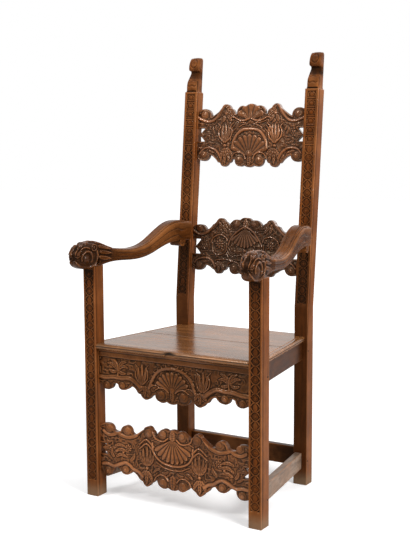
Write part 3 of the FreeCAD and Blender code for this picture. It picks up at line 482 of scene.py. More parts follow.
class Relief:
    """Heights over the sunk ground of a face, raised motif by motif.

    Places, widths and cuts are in millimetres, and a motif's height is a share of the depth.
    """

    def __init__(self, u, v, depth):
        self.u, self.v, self.depth = u, v, depth
        self.height = np.zeros_like(u)

    def near(self, low, high):
        return np.nonzero((self.u > low[0]) & (self.u < high[0]) & (self.v > low[1]) & (self.v < high[1]))[0]

    def around(self, centre, radius):
        """Points near a centre: their numbers, distance and direction."""
        chosen = self.near(np.array(centre) - radius, np.array(centre) + radius)
        x, y = self.u[chosen] - centre[0], self.v[chosen] - centre[1]
        return chosen, np.hypot(x, y), np.arctan2(y, x)

    def follow(self, points, reach):
        """Points near a line: their numbers, distance and place along it from 0 to 1."""
        line = curve_through(points)
        chosen = self.near(line.min(0) - reach, line.max(0) + reach)
        u, v = self.u[chosen], self.v[chosen]
        best = np.full(len(chosen), 1e9)
        along = np.zeros(len(chosen))
        lengths = np.hypot(*np.diff(line, axis=0).T)
        total = max(lengths.sum(), 1e-9)
        done = 0.0
        for (ax, ay), (bx, by), length in zip(line, line[1:], lengths):
            dx, dy = bx - ax, by - ay
            square = max(dx * dx + dy * dy, 1e-12)
            t = np.clip(((u - ax) * dx + (v - ay) * dy) / square, 0, 1)
            distance = np.hypot(u - ax - t * dx, v - ay - t * dy)
            closer = distance < best
            best = np.where(closer, distance, best)
            along = np.where(closer, (done + t * length) / total, along)
            done += length
        inside = best < reach
        return chosen[inside], best[inside], along[inside]

    def raise_to(self, chosen, share):
        self.height[chosen] = np.maximum(self.height[chosen], self.depth * share)

    def roll(self, points, width, height=1.0, end_width=None):
        """A rounded rib along a line, tapering if its end has another width."""
        end_width = width if end_width is None else end_width
        chosen, distance, along = self.follow(points, max(width, end_width) / 2)
        half = (width + (end_width - width) * along) / 2
        self.raise_to(chosen, height * np.clip(1 - (distance / half) ** 2, 0, 1) ** 0.5)

    def groove(self, points, width, cut):
        """A V-shaped cut along a line, in millimetres."""
        chosen, distance, along = self.follow(points, width / 2)
        fade = np.clip(np.minimum(along, 1 - along) * 12 + 0.2, 0, 1)
        self.height[chosen] -= cut * (1 - distance / (width / 2)) * fade

    def blade(self, points, width, height=1.0, veins=0, base=0.35, fold=0.30):
        """A leaf along a line: pointed, with a midrib groove and slanting veins."""
        chosen, distance, along = self.follow(points, width / 2)
        swell = np.sin(np.pi * np.clip(base + (1 - base) * along, 0, 1)) ** 0.75
        swell = np.where(along < 0.02, swell * along / 0.02 * 0.5 + swell * 0.5, swell)
        half = np.maximum(width / 2 * swell, 0.05)
        across = np.clip(distance / half, 0, 1)
        shape = np.sqrt(np.clip(1 - across ** 2.4, 0, 1))
        shape = shape * (1 - fold * np.exp(-(distance / 1.3) ** 2))
        if veins:
            shape = shape * (0.90 + 0.10 * np.cos(2 * np.pi * (along * veins - across * 0.8)))
        self.raise_to(chosen, height * np.where(distance < half, shape, 0))

    def rolls(self, lines, *shape):
        for line in lines:
            self.roll(line, *shape)

    def blades(self, lines, *shape):
        for line in lines:
            self.blade(line, *shape)

    def boss(self, centre, radius, height=1.0, squash=1.0):
        """A domed bead, or an oval one."""
        reach = np.array([radius, radius * squash])
        chosen = self.near(np.array(centre) - reach, np.array(centre) + reach)
        distance = np.hypot((self.u[chosen] - centre[0]) / reach[0], (self.v[chosen] - centre[1]) / reach[1])
        self.raise_to(chosen, height * np.clip(1 - distance ** 2, 0, 1) ** 0.5)

    def volute(self, centre, radius, turns=1.5, hand=1, start=1.0, groove=1.5):
        """A rolled scroll end: a dome with a spiral channel and an eye."""
        chosen, distance, angle = self.around(centre, radius)
        distance = distance / radius
        dome = np.clip(1 - distance ** 3, 0, 1) ** 0.5 * (0.72 + 0.28 * (1 - distance))
        phase = distance * turns - (hand * angle - start) / (2 * np.pi)
        channel = np.exp(-((phase - np.round(phase)) / 0.13) ** 2) * np.clip((distance - 0.16) / 0.2, 0, 1)
        channel = channel * np.clip((0.93 - distance) / 0.08, 0, 1)
        self.raise_to(chosen, np.where(distance < 1, dome - groove / self.depth * channel, 0))

    def shell(self, centre, inner, outer, aim, spread, ribs, dish=0.45, lobes=0.07):
        """A scallop shell: ribs that fan out from a point to a scalloped edge."""
        chosen, distance, angle = self.around(centre, outer * 1.1)
        angle = (angle - aim + np.pi) % (2 * np.pi) - np.pi
        rib = np.abs(np.sin(np.pi * (angle / spread + 1) / 2 * ribs))
        edge = outer * (1 - lobes + lobes * rib)
        along = np.clip((distance - inner) / (edge - inner), 0, 1)
        body = (1 - dish + dish * along) * (0.50 + 0.50 * rib ** 0.8)
        body = body * np.clip((edge - distance) / 1.6, 0, 1) ** 0.5
        inside = (np.abs(angle) < spread) & (distance > inner) & (distance < edge)
        self.raise_to(chosen, np.where(inside, body, 0))

    def rosette(self, centre, radius, petals, height=1.0, eye=0.32):
        """A small round flower."""
        chosen, distance, angle = self.around(centre, radius)
        distance = distance / radius
        petal = np.abs(np.cos(angle * petals / 2))
        edge = 0.70 + 0.30 * petal
        shape = np.clip(1 - (distance / edge) ** 3, 0, 1) ** 0.5 * (0.45 + 0.55 * petal)
        shape = np.where(distance < eye, 0.35, shape)
        bead = np.clip(1 - (distance / (eye * 0.85)) ** 2, 0, 1) ** 0.5
        self.raise_to(chosen, height * np.maximum(np.where(distance < 1, shape, 0), bead))


def plane_of(polygon):
    """The slope of a face and how far its plane lies from the origin, rounded so that they compare."""
    return round(polygon.normal.z, 2), round(polygon.normal.dot(polygon.center), 4)


class Face:
    """The flat front of a frame node: across, up it, and the depth behind it, in millimetres."""

    def __init__(self, node, lowest=0.0):
        mesh = NODES[node].data
        total, normals = {}, {}
        for polygon in mesh.polygons:
            if polygon.normal.y < -0.95 and polygon.center.z > lowest:
                key = plane_of(polygon)
                total[key] = total.get(key, 0) + polygon.area
                normals.setdefault(key, polygon.normal.copy())
        widest = max(total, key=total.get)
        plane = max((key for key in total if key[0] == widest[0] and total[key] > total[widest] * 0.2),
                    key=lambda key: key[1])
        self.out = normals[plane].normalized()
        self.level = plane[1]
        self.up = (Vector((0, 0, 1)) - self.out * self.out.z).normalized()
        self.foot = min(self.up.dot(mesh.vertices[index].co) for polygon in mesh.polygons
                        if plane_of(polygon) == plane for index in polygon.vertices)

    def local(self, points):
        out, up = np.array(self.out), np.array(self.up)
        return points[:, 0] / MM, (points @ up - self.foot) / MM, (self.level - points @ out) / MM

    def sunk(self, points, depth):
        """Move points behind the face by depths in millimetres."""
        return points - np.array(self.out) * (depth * MM)[:, None]

    def filled(self, node, skip):
        """A copy of a board with a whole front again, and how far a point is from its outline."""
        piece = merged_copy(node, f"carved_{node}")
        work = bmesh.new()
        work.from_mesh(piece.data)
        behind = carving().ground_level
        cut = bmesh.ops.bisect_plane(work, geom=[*work.verts, *work.edges, *work.faces], dist=1e-7,
                                     plane_co=self.out * (self.level - behind), plane_no=self.out,
                                     clear_outer=True)
        rim = [item for item in cut["geom_cut"] if isinstance(item, bmesh.types.BMEdge)]
        made = bmesh.ops.extrude_edge_only(work, edges=rim)["geom"]
        corners = {item for item in made if isinstance(item, bmesh.types.BMVert)}
        bmesh.ops.translate(work, vec=self.out * behind, verts=list(corners))
        edge = [item for item in made if isinstance(item, bmesh.types.BMEdge)
                and item.verts[0] in corners and item.verts[1] in corners]
        marks = []
        for item in edge:
            u, v, _ = self.local(np.array([list(vert.co) for vert in item.verts]))
            for t in np.linspace(0, 1, max(2, int(np.hypot(u[1] - u[0], v[1] - v[0]) / 0.5) + 1)):
                mark = (u[0] + (u[1] - u[0]) * t, v[0] + (v[1] - v[0]) * t)
                if not skip(*mark):
                    marks.append(mark)
        bmesh.ops.triangle_fill(work, use_beauty=True, use_dissolve=False, edges=edge)
        bmesh.ops.recalc_face_normals(work, faces=work.faces)
        work.to_mesh(piece.data)
        work.free()
        return piece, distance_to(marks)


def distance_to(marks):
    """How far points are from the nearest of some marks, as a function."""
    tree = kdtree.KDTree(len(marks))
    for index, (u, v) in enumerate(marks):
        tree.insert((u, v, 0), index)
    tree.balance()
    return lambda u, v: np.array([tree.find((a, b, 0))[2] for a, b in zip(u, v)])


def carve_board(node, design, skip, finish_name, rim_width=6.0, rim_height=0.55):
    """Sink the ground of a board and raise its ornament from it."""
    sizes = carving()
    face = Face(node)
    piece, rim = face.filled(node, skip)
    mesh = remeshed(piece, sizes.board_voxel).data
    softened(mesh, 2)
    points = points_of(mesh)
    u, v, w = face.local(points)
    span = max(abs(u[w < 0.5].min()), u[w < 0.5].max())
    thickness = w.max()
    facing = np.nonzero((w < thickness - 1.0) & (np.abs(u) < span - 0.2))[0]
    front = points[facing]
    depth = sizes.splat_depth / MM
    drift = hashed(front, 22.0, 3) * 1.6 + hashed(front, 60.0, 4) * 0.6
    lift = hashed(front, 22.0, 8) * 1.6 + hashed(front, 60.0, 9) * 0.6
    fu, fv = np.abs(u[facing]) + drift * np.clip(np.abs(u[facing]) / 12, 0, 1), v[facing] + lift
    relief = Relief(fu, fv, depth)
    gap = rim(u[facing], v[facing])
    design(relief)
    band = np.clip(1 - ((gap - rim_width * 0.42) / (rim_width * 0.58)) ** 2, 0, 1) ** 0.5
    ragged = 1 + 0.35 * hashed(front, 45.0, 12)
    relief.height = np.maximum(relief.height, depth * rim_height * ragged * band)

    # Leafy veins on what is left bare of motifs
    raised = np.nonzero(relief.height > depth * 0.4)[0][::4]
    bare = np.nonzero(relief.height <= depth * 0.4)[0]
    away = distance_to(list(zip(fu[raised], fv[raised])))(fu[bare], fv[bare])
    veins = np.clip(1 - 2.4 * np.abs(hashed(front[bare], 95.0, 2)), 0, 1)
    veins = np.maximum(veins, np.clip(0.8 - 2.4 * np.abs(hashed(front[bare], 60.0, 31)), 0, 1))
    relief.raise_to(bare, (0.18 + 0.52 * veins) * np.clip(away / 2.4 - 0.3, 0, 1))

    level, sink, darkening, raised = np.zeros((4, len(points)))
    level[facing] = relief.height
    height = averaged(level, edges_of(mesh), 2)[facing]
    height = np.clip(height, 0, depth - 0.05) + gouged(front)
    sink[facing] = np.clip(depth - height, 0.0, None)
    set_points(mesh, face.sunk(points, np.where(w < thickness - 1.0, sink * (1 - w / thickness), 0)))
    darkening[facing] = np.clip(1 - height / depth, 0, 1)
    raised[facing] = np.clip(height / depth * 2 - 1, 0, 1)
    warm = np.clip(0.5 + hashed(points, 14.0, 21), 0, 1)
    finish_surface(mesh, darkening ** 1.5 * 0.60, 1.2, 2.2, raised * warm * 0.65)
    dressed(piece, finish_name, node, "board")


def end_zone(limit):
    return lambda u, v: abs(u) > limit


# Ornament of the boards, drawn on one half and mirrored

UP, DOWN = math.pi / 2, -math.pi / 2


def crest_design(relief):
    """Crest: a shell under a double arch, tulips, leaf tufts and rolled scrolls."""
    relief.roll([(189, 155), (172, 147), (152, 141), (134, 143), (118, 156), (104, 176), (94, 190)], 11)
    relief.volute((162, 163), 18, start=2.6)
    relief.boss((86, 166), 7)
    relief.blades([[(92, 192), (76, 180), (62, 160)], [(88, 176), (72, 166), (56, 150)],
                   [(97, 186), (106, 170), (116, 150)], [(92, 160), (94, 150), (98, 138)],
                   [(80, 160), (72, 148), (66, 140)]], 15, 0.9, 5, 0.2)
    relief.shell((0, 144), 8, 52, UP, 1.28, 5, 0.35, 0.12)
    relief.blades([[(0, 150), (0, 164), (0, 180)], [(8, 148), (18, 158), (28, 172)]], 12, 1.0, 0, 0.25)
    relief.roll([(4, 150), (22, 144), (42, 146), (60, 155), (72, 150)], 9, 1.0, 5)
    relief.roll([(18, 137), (38, 138), (56, 144)], 6, 0.85, 3)
    relief.roll([(0, 119), (24, 115), (43, 102), (55, 82), (60, 58)], 13, 1.0, 11)
    relief.shell((0, 34), 4, 68, UP, 1.30, 9, 0.35, 0.10)
    relief.boss((0, 42), 14, 0.95, 0.9)
    for turn in np.arange(0.05, 1.3, 0.20):
        relief.boss((60 * math.sin(turn), 60 + 60 * math.cos(turn)), 2.4)
    relief.blades([[(87, 78), (87, 105), (87, 138)], [(84, 80), (76, 104), (78, 134)],
                   [(90, 80), (99, 104), (96, 134)]], 11, 1.0, 0, 0.25)
    relief.rolls([[(84, 76), (68, 92), (64, 112), (70, 126), (60, 134)],
                  [(90, 76), (107, 92), (111, 112), (105, 124), (116, 136)]], 8, 1.0, 3)
    relief.boss((87, 66), 7, 1.0, 0.8)
    relief.rolls([[(68, 82), (64, 104), (50, 120)], [(72, 98), (66, 116), (54, 130)],
                  [(74, 112), (68, 126), (56, 140)], [(40, 122), (24, 131), (8, 134)]], 5.5, 0.9, 3)
    relief.blades([[(120, 112), (124, 124), (118, 132)], [(126, 100), (133, 116), (130, 128)]],
                  8, 0.8, 0, 0.25)
    relief.rosette((150, 103), 12, 6, 0.9)
    relief.blade([(160, 103), (168, 102), (180, 100)], 12, 0.8, 4, 0.3)
    relief.blades([[(140, 86), (128, 84), (116, 92)], [(150, 80), (136, 74), (120, 76)]], 9, 0.7, 4, 0.25)
    relief.roll([(102, 28), (112, 44), (127, 55), (146, 60), (166, 55), (179, 42)], 11, 1.0, 8)
    relief.volute((164, 36), 17, hand=-1, start=2.4)
    relief.volute((35, 22), 18)
    relief.roll([(13, 26), (20, 40), (36, 46), (52, 42), (62, 28)], 6, 1.0, 4)
    relief.blade([(0, 34), (0, 20), (0, 2)], 20, 0.9, 5, 0.25)
    relief.blades([[(87, 58), (87, 34), (87, 6)], [(84, 56), (74, 34), (72, 14)],
                   [(90, 56), (100, 34), (101, 14)], [(80, 58), (66, 44), (60, 30)]], 15, 0.95, 5, 0.2)


def lower_design(relief):
    """Lower splat: a hanging shell, cartouches, leaf tufts and rolled scrolls."""
    relief.roll([(189, 132), (168, 122), (148, 124), (130, 134), (114, 148), (100, 164), (92, 174)], 11)
    relief.volute((164, 141), 16, start=2.6)
    relief.blades([[(90, 172), (76, 160), (62, 142)], [(94, 168), (106, 152), (118, 136)],
                   [(90, 156), (88, 142), (84, 128)], [(82, 152), (72, 140), (62, 128)]], 14, 0.9, 5, 0.2)
    relief.boss((90, 158), 5.5)
    relief.volute((32, 160), 16, 1.4, -1, 2.0)
    relief.blade([(0, 146), (0, 162), (0, 178)], 24, 1.0, 5, 0.25)
    relief.roll([(0, 152), (20, 142), (38, 126), (52, 108), (60, 90)], 8, 1.0, 6)
    relief.roll([(22, 140), (40, 134), (60, 138)], 5, 0.8, 3)
    relief.shell((0, 148), 6, 64, DOWN, 0.95, 9, 0.3, 0.08)
    relief.roll([(62, 104), (68, 116), (90, 122), (112, 112), (120, 96)], 6)
    relief.rosette((90, 94), 17, 8, 0.95)
    relief.roll([(66, 96), (66, 78), (72, 66), (90, 60), (108, 66), (114, 80), (114, 96)], 5, 0.85)
    relief.rolls([[(60, 84), (50, 70), (34, 64)], [(62, 74), (52, 60), (36, 54)],
                  [(64, 66), (54, 50), (40, 44)]], 5, 0.85, 2.5)
    relief.boss((0, 76), 8, 1.0, 0.9)
    relief.rosette((150, 84), 12, 6, 0.9)
    relief.blade([(158, 82), (168, 80), (178, 78)], 12, 0.8, 4, 0.3)
    relief.blades([[(134, 100), (128, 86), (130, 70)], [(142, 66), (134, 56), (120, 52)],
                   [(142, 104), (130, 106), (118, 112)]], 10, 0.75, 4, 0.25)
    relief.roll([(42, 42), (62, 46), (84, 46), (104, 42)], 6, 1.0, 5)
    relief.roll([(104, 22), (114, 38), (130, 48), (150, 48), (168, 42), (180, 30)], 10, 1.0, 8)
    relief.volute((164, 24), 16, hand=-1, start=2.4)
    relief.volute((36, 18), 17)
    relief.roll([(14, 24), (22, 36), (38, 40), (54, 34), (60, 22)], 6, 1.0, 4)
    relief.blade([(0, 40), (0, 22), (0, 2)], 24, 0.9, 5, 0.25)
    relief.blades([[(90, 40), (90, 22), (90, 4)], [(86, 38), (76, 22), (74, 10)],
                   [(94, 38), (104, 22), (106, 10)]], 14, 0.95, 4, 0.2)


def stretcher_design(relief):
    """Front stretcher: a hanging shell, upright plumes, leaf masks and ball scrolls."""
    for centre, radius, hand in (((220, 157), 16, 1), ((155, 157), 17, 1), ((80, 160), 17, -1),
                                 ((33, 163), 17, 1)):
        relief.volute(centre, radius, hand=hand, start=1.4)
    relief.blade([(0, 150), (0, 166), (0, 182)], 26, 1.0, 5, 0.25)
    wave = [(240, 146), (222, 138), (204, 140), (190, 147), (176, 142), (156, 138), (136, 142), (122, 148)]
    relief.roll(wave, 13)
    relief.groove(wave, 2.4, 1.6)
    relief.roll([(122, 148), (108, 160), (96, 174), (84, 180)], 7, 1.0, 6)
    relief.roll([(14, 154), (28, 144), (44, 144), (60, 152), (66, 166)], 6, 1.0, 5)
    relief.shell((0, 152), 6, 72, DOWN, 1.12, 9, 0.3, 0.13)
    relief.roll([(0, 74), (26, 78), (50, 90), (65, 111), (67, 134)], 9, 1.0, 7)
    relief.roll([(0, 62), (30, 67), (56, 80)], 6, 0.9, 4)
    relief.blades([[(14, 56), (26, 50), (40, 52)], [(44, 60), (56, 56), (68, 44)]], 10, 0.9, 4, 0.2)
    relief.roll([(70, 140), (54, 146), (40, 142)], 4.5, 0.85, 3)
    relief.blades([[(88, 62), (87, 92), (88, 126)], [(85, 64), (76, 90), (74, 116)],
                   [(92, 64), (100, 90), (102, 116)], [(82, 66), (68, 84), (64, 104)],
                   [(95, 66), (108, 84), (113, 104)]], 12, 1.0, 4, 0.25)
    relief.rolls([[(64, level - 16), (88, level + 2), (114, level - 16)] for level in (126, 138)], 7, 0.9, 5)
    relief.boss((88, 56), 6)
    relief.blades([[(196, 74), (178, 82), (150, 76)], [(200, 88), (178, 98), (148, 92)],
                   [(200, 106), (182, 112), (156, 106)], [(146, 68), (136, 78), (130, 96)],
                   [(204, 70), (212, 84), (210, 100)]], 12, 0.9, 5, 0.2)
    relief.boss((170, 90), 5)
    relief.boss((192, 92), 4)
    relief.rosette((152, 106), 13, 8, 0.95)
    relief.rosette((222, 98), 11, 6, 0.85)
    relief.blade([(228, 96), (236, 95), (246, 94)], 12, 0.8, 3, 0.3)
    relief.blades([[(122, 90), (126, 108), (120, 124)], [(232, 120), (222, 116), (208, 122)],
                   [(228, 74), (218, 68), (206, 60)]], 10, 0.75, 4, 0.25)
    for centre, radius, hand in (((226, 27), 15, -1), ((162, 39), 15, -1), ((35, 20), 19, 1)):
        relief.volute(centre, radius, hand=hand)
    relief.roll([(244, 46), (226, 48), (208, 44), (194, 48), (180, 54), (162, 60), (146, 54), (136, 46),
                 (118, 40), (104, 30)], 13)
    relief.blade([(0, 44), (0, 24), (0, 4)], 26, 0.9, 5, 0.25)
    relief.roll([(14, 30), (26, 42), (42, 44), (56, 36), (62, 24)], 6, 1.0, 4)
    relief.blades([[(90, 48), (90, 26), (90, 4)], [(86, 46), (74, 28), (70, 16)],
                   [(94, 46), (106, 30), (108, 16)]], 16, 0.95, 5, 0.2)


def apron_design(relief):
    """Apron: a plain upper band, a shell over ball scrolls, tulips and winged leaves."""
    plain = np.nonzero(relief.v > 114)[0]
    relief.raise_to(plain, (1 - 1.4 / relief.depth) * ramp(relief.v[plain], 114, 115.2))
    relief.raise_to(np.nonzero(relief.v > 131)[0], 1.0)
    relief.groove([(-5, 129.5), (120, 129.5), (262, 129.5)], 3.0, 1.6)
    relief.shell((0, 34), 6, 60, UP, 1.25, 9, 0.35, 0.12)
    relief.boss((0, 40), 11, 0.95)
    relief.roll([(0, 103), (26, 99), (47, 89), (61, 74), (71, 56), (77, 40)], 13, 1.0, 10)
    relief.rolls([[(68 * math.sin(turn), 38 + 66 * math.cos(turn)),
                   (80 * math.sin(turn + 0.05), 38 + 78 * math.cos(turn + 0.05))]
                  for turn in np.arange(0.25, 1.4, 0.19)], 5, 0.95, 3)
    relief.roll([(72, 44), (58, 50), (44, 46)], 5, 0.9, 3)
    relief.volute((38, 24), 17)
    relief.roll([(12, 34), (24, 42), (42, 44), (56, 36)], 6, 1.0, 4)
    relief.blade([(0, 34), (0, 20), (0, 4)], 20, 0.9, 5, 0.25)
    relief.blades([[(102, 48), (102, 78), (102, 108)], [(98, 50), (90, 76), (90, 98)],
                   [(106, 50), (114, 76), (114, 98)]], 12, 1.0, 0, 0.25)
    relief.rolls([[(98, 48), (84, 62), (82, 80), (86, 94), (78, 104)],
                  [(106, 48), (120, 62), (123, 80), (118, 94), (126, 104)]], 6, 0.95, 3)
    relief.boss((102, 40), 5.5)
    relief.blades([[(186, 80), (168, 92), (148, 88)], [(184, 88), (170, 102), (154, 106)],
                   [(188, 82), (206, 96), (226, 98)], [(188, 90), (198, 104), (214, 110)],
                   [(184, 78), (172, 72), (156, 72)], [(190, 76), (204, 74), (220, 80)]], 13, 0.95, 5, 0.2)
    relief.roll([(186, 62), (184, 78), (188, 98), (196, 108)], 5)
    relief.rosette((186, 84), 9, 6)
    relief.blades([[(92, 44), (92, 26), (92, 8)], [(88, 42), (78, 28), (74, 18)],
                   [(96, 42), (108, 30), (114, 22)]], 14, 0.9, 4, 0.2)
    relief.volute((172, 36), 13, 1.4, -1)
    relief.volute((226, 30), 14, 1.4, -1)
    relief.roll([(252, 54), (226, 54), (200, 58), (172, 58), (146, 60), (124, 50), (108, 38)], 16)
    relief.groove([(252, 56), (226, 56), (200, 60), (172, 60), (146, 62), (122, 50)], 3.0, 2.0)


# Posts, stiles and plain members

def strip_design(relief, low, high, pitch, bars_from):
    """A chain of rings and lozenges up a narrow strip, with barred panels at its upper end."""
    half = STRIP_HALF
    for number, foot in enumerate(np.arange(low, high - pitch * 0.5, pitch)):
        middle = foot + pitch * 0.5
        if foot > bars_from:
            relief.roll([(-half, foot), (half, foot)], 4.0)
            relief.roll([(-half, foot + 7), (half, foot + 7)], 2.6, 0.8)
            relief.boss((0, middle + 4), half * 0.55, 1.0, 0.8)
            relief.rolls([[(side * 0.3, foot + pitch - 2), (side * 0.8, middle + 6),
                           (side * 0.8, middle - 2)] for side in (-half, half)], 3.2)
            continue
        if number % 2:
            relief.blade([(0, middle - 11), (0, middle), (0, middle + 11)], half * 1.1, 1.0, 0, 0.1)
        else:
            relief.boss((0, middle), half * 0.62)
            relief.groove(ring((0, middle), half * 0.36, half * 0.36), 2.2, relief.depth * 0.8)
        relief.rolls([[(side * 1.5, foot), (side * half * 0.6, foot + lean * 3),
                       (side * half * 0.95, foot + lean * 9)] for side in (-1, 1) for lean in (-1, 1)], 3.4)


def finial_cuts(rise, side, normals):
    """Ridges round a finial's swelling, its narrow neck and the roll of its knob, in millimetres."""
    lobes = 3.0 * np.abs(np.cos(side * np.pi / 19))
    swelling = bell(rise, 2, 2.4) * 2.6 + bell(rise - lobes, 17, 2.8) * 2.4
    ledge = bell(rise - lobes, 35, 2.6) * 2.0
    neck = ramp(rise, 40, 42) * ramp(rise, 64, 62) * 0.9
    rolled = np.hypot(side / 11, (rise - 90) / 13)
    knob = (ramp(rise, 67, 69) * ramp(rise, 112, 110)
            * (bell(rolled, 1.0, 0.20) * 2.2 + np.clip(rolled - 1.15, 0, 1) * 2.0))
    return (swelling + ledge + neck + knob) * ramp(np.abs(normals[:, 0]), 0.75, 0.45)


def carve_post(node, centre, low, high, pitch, stile=False):
    """Cut a strip of ornament into the front of a post or stile, and shape a stile's finial."""
    sizes = carving()
    face = Face(node, LEANING_FROM if stile else 0.0)
    piece, mesh = evened(node, "carved", sizes.post_voxel)
    if stile:
        _, v, _ = face.local(points_of(mesh))
        softened(mesh, rounds=90, where=ramp(v, FINIAL_FROM, FINIAL_FROM + 4))
    points, normals = points_of(mesh), normals_of(mesh)
    u, v, w = face.local(points)
    side, depth = u - centre, sizes.strip_depth / MM
    near = np.nonzero((np.abs(w) < STRIP_REACH) & (np.abs(side) < 19) & (v > low - 6) & (v < high + 6))[0]
    relief = Relief(side[near] + hashed(points[near], 30.0, 4) * 0.6, v[near], depth)
    strip_design(relief, low, high, pitch, BARS_FROM if stile else math.inf)
    height = np.clip(relief.height, 0, depth) + gouged(points[near])
    strip, sink = np.zeros((2, len(points)))
    strip[near] = (ramp(np.abs(side[near]), STRIP_HALF + 0.8, STRIP_HALF - 0.4)
                   * ramp(v[near], low - 1, low + 0.2) * ramp(v[near], high + 1, high - 0.2))
    sink[near] = np.clip(depth - height, 0, None) * strip[near]
    sink = sink * np.clip(1 - np.abs(w) / STRIP_REACH, 0, 1)

    # Dents on the edges, a dark scratched line down each side, and painted shade under the arms and heads,
    # with darker patches on the finials
    cuts = np.clip(hashed(points, 55.0, 9) - 0.35, 0, 1) * 0.25 * np.clip(curvature(mesh, 4) * 3, 0, 1)
    line = bell(w, 8, 1.1) * np.clip(np.abs(normals[:, 0]) * 4 - 3, 0, 1)
    frontal = np.clip(-normals[:, 1], 0, 1)
    uneven = np.clip(0.26 + 0.40 * hashed(points, 13.0, 14), 0.05, 1)
    if stile:
        rise = v - FINIAL_FROM
        cuts = cuts + finial_cuts(rise, side, normals)
        uneven = np.where(v > BARS_FROM, uneven * 0.35, uneven)
        # Painted shade: a stile's front darkens below the arm; the finial's neck and patches over the finial
        # are darker too
        dark_marks_and_painted_shade = (line + ramp(points[:, 2], 0.735, 0.705) * frontal * 0.55
                + ramp(rise, 38, 44) * ramp(rise, 68, 64) * 0.55
                + ramp(rise, 0, 6) * np.clip(0.5 + hashed(points, 70.0, 17), 0, 1) * 0.35)
    else:
        # Painted shade: a front post's front darkens towards the arm head above it
        dark_marks_and_painted_shade = line + ramp(points[:, 2], 0.61, 0.67) * frontal * 0.50
    cuts = cuts + line * 0.9
    set_points(mesh, face.sunk(points, sink) - normals * (cuts * MM)[:, None])
    # Front faces beside the strip are lightened, the strip is kept darker, and faces turned to the right,
    # towards the key lamp, get a painted highlight
    rubbed_and_highlight = frontal * (1 - strip) * 0.14 + np.clip(normals[:, 0], 0, 1) * 0.18 - strip * 0.25
    finish_surface(mesh, np.clip(sink / depth, 0, 1) * uneven + strip * 0.06 + dark_marks_and_painted_shade, 1.3, 1.3, rubbed_and_highlight)
    dressed(piece, "post", node, "post")


def plain_member(node, finish_name, joints=False, quirk=0.0):
    """A plain rail or plank with worn edges, dark joints and a groove in its nosing, with painted shade in
    that groove and its finger notch.
    """
    piece, mesh = evened(node, "worn", carving().plain_voxel)
    points, normals = points_of(mesh), normals_of(mesh)
    on_edge = np.clip(curvature(mesh, 4) * 3, 0, 1)
    dents = np.clip(hashed(points, 60.0, 9) - 0.3, 0, 1) * 0.3
    dirt_and_shade = np.zeros(len(points))
    low, high = points.min(0), points.max(0)
    if joints:
        for axis in (0, 1):
            border = np.minimum(points[:, axis] - low[axis], high[axis] - points[:, axis]) / MM
            dirt_and_shade = np.maximum(dirt_and_shade, bell(border, 0, 1.6))
    if quirk:
        drop = (high[2] - points[:, 2]) / MM
        line = bell(drop, quirk, 1.5) * np.clip(1 - np.abs(normals[:, 2]) * 0.7, 0, 1)
        dents = dents + line * 2.2
        on_edge = np.maximum(on_edge, line)
        # Painted shade in the nosing groove, and painted shadow in the finger notch of the front nosing
        notch = np.clip(1.2 - np.hypot(points[:, 0] / MM / 26, (drop - 6) / 6), 0, 0.6) * 1.3
        dirt_and_shade = np.maximum(np.maximum(dirt_and_shade, line * 0.9), notch)
    set_points(mesh, points - normals * (dents * on_edge * MM)[:, None])
    finish_surface(mesh, np.clip(dirt_and_shade, 0, 1))
    dressed(piece, finish_name, node, "plain")


# Arms

class Limb:
    """An arm unrolled: along it, and round it from below (negative) over the side to the top.

    The head rounds off in front of the brow, over the reach, and the girth is its radius.
    """

    brow, reach, girth = -245.0, 48.0, 36.0

    def __init__(self, points):
        self.y, self.z = points[:, 1] / MM, points[:, 2] / MM
        self.stations = np.arange(self.y.min() + 1.0, self.y.max(), 4.0)
        rows = [points[np.abs(self.y - station) < 3.0] / MM for station in self.stations]
        self.spans = np.array([(row[:, 0].min(), row[:, 0].max(), row[:, 2].min(), row[:, 2].max())
                               for row in rows]).T
        left, right, low, high = (np.interp(self.y, self.stations, span) for span in self.spans)
        offset = (points[:, 0] / MM - (left + right) / 2) / ((right - left) / 2)
        rise = (self.z - (low + high) / 2) / ((high - low) / 2)
        self.u = self.along(self.y)
        self.v = self.girth * np.arctan2(rise, np.abs(offset))
        self.over_base = self.z - low

    def along(self, y):
        front = np.clip((self.brow - y) / self.reach, 0, 1)
        return np.where(y < self.brow, self.brow - self.reach * np.arcsin(front), y)

    def at(self, y, z):
        """The place on the unrolled side for a place along the chair and a height."""
        low, high = (np.interp(y, self.stations, span) for span in self.spans[2:])
        rise = np.clip((z - (low + high) / 2) / ((high - low) / 2), -1, 1)
        return float(self.along(np.array(y, float))), self.girth * math.asin(rise)

    def line(self, *places):
        return [self.at(*place) for place in places]


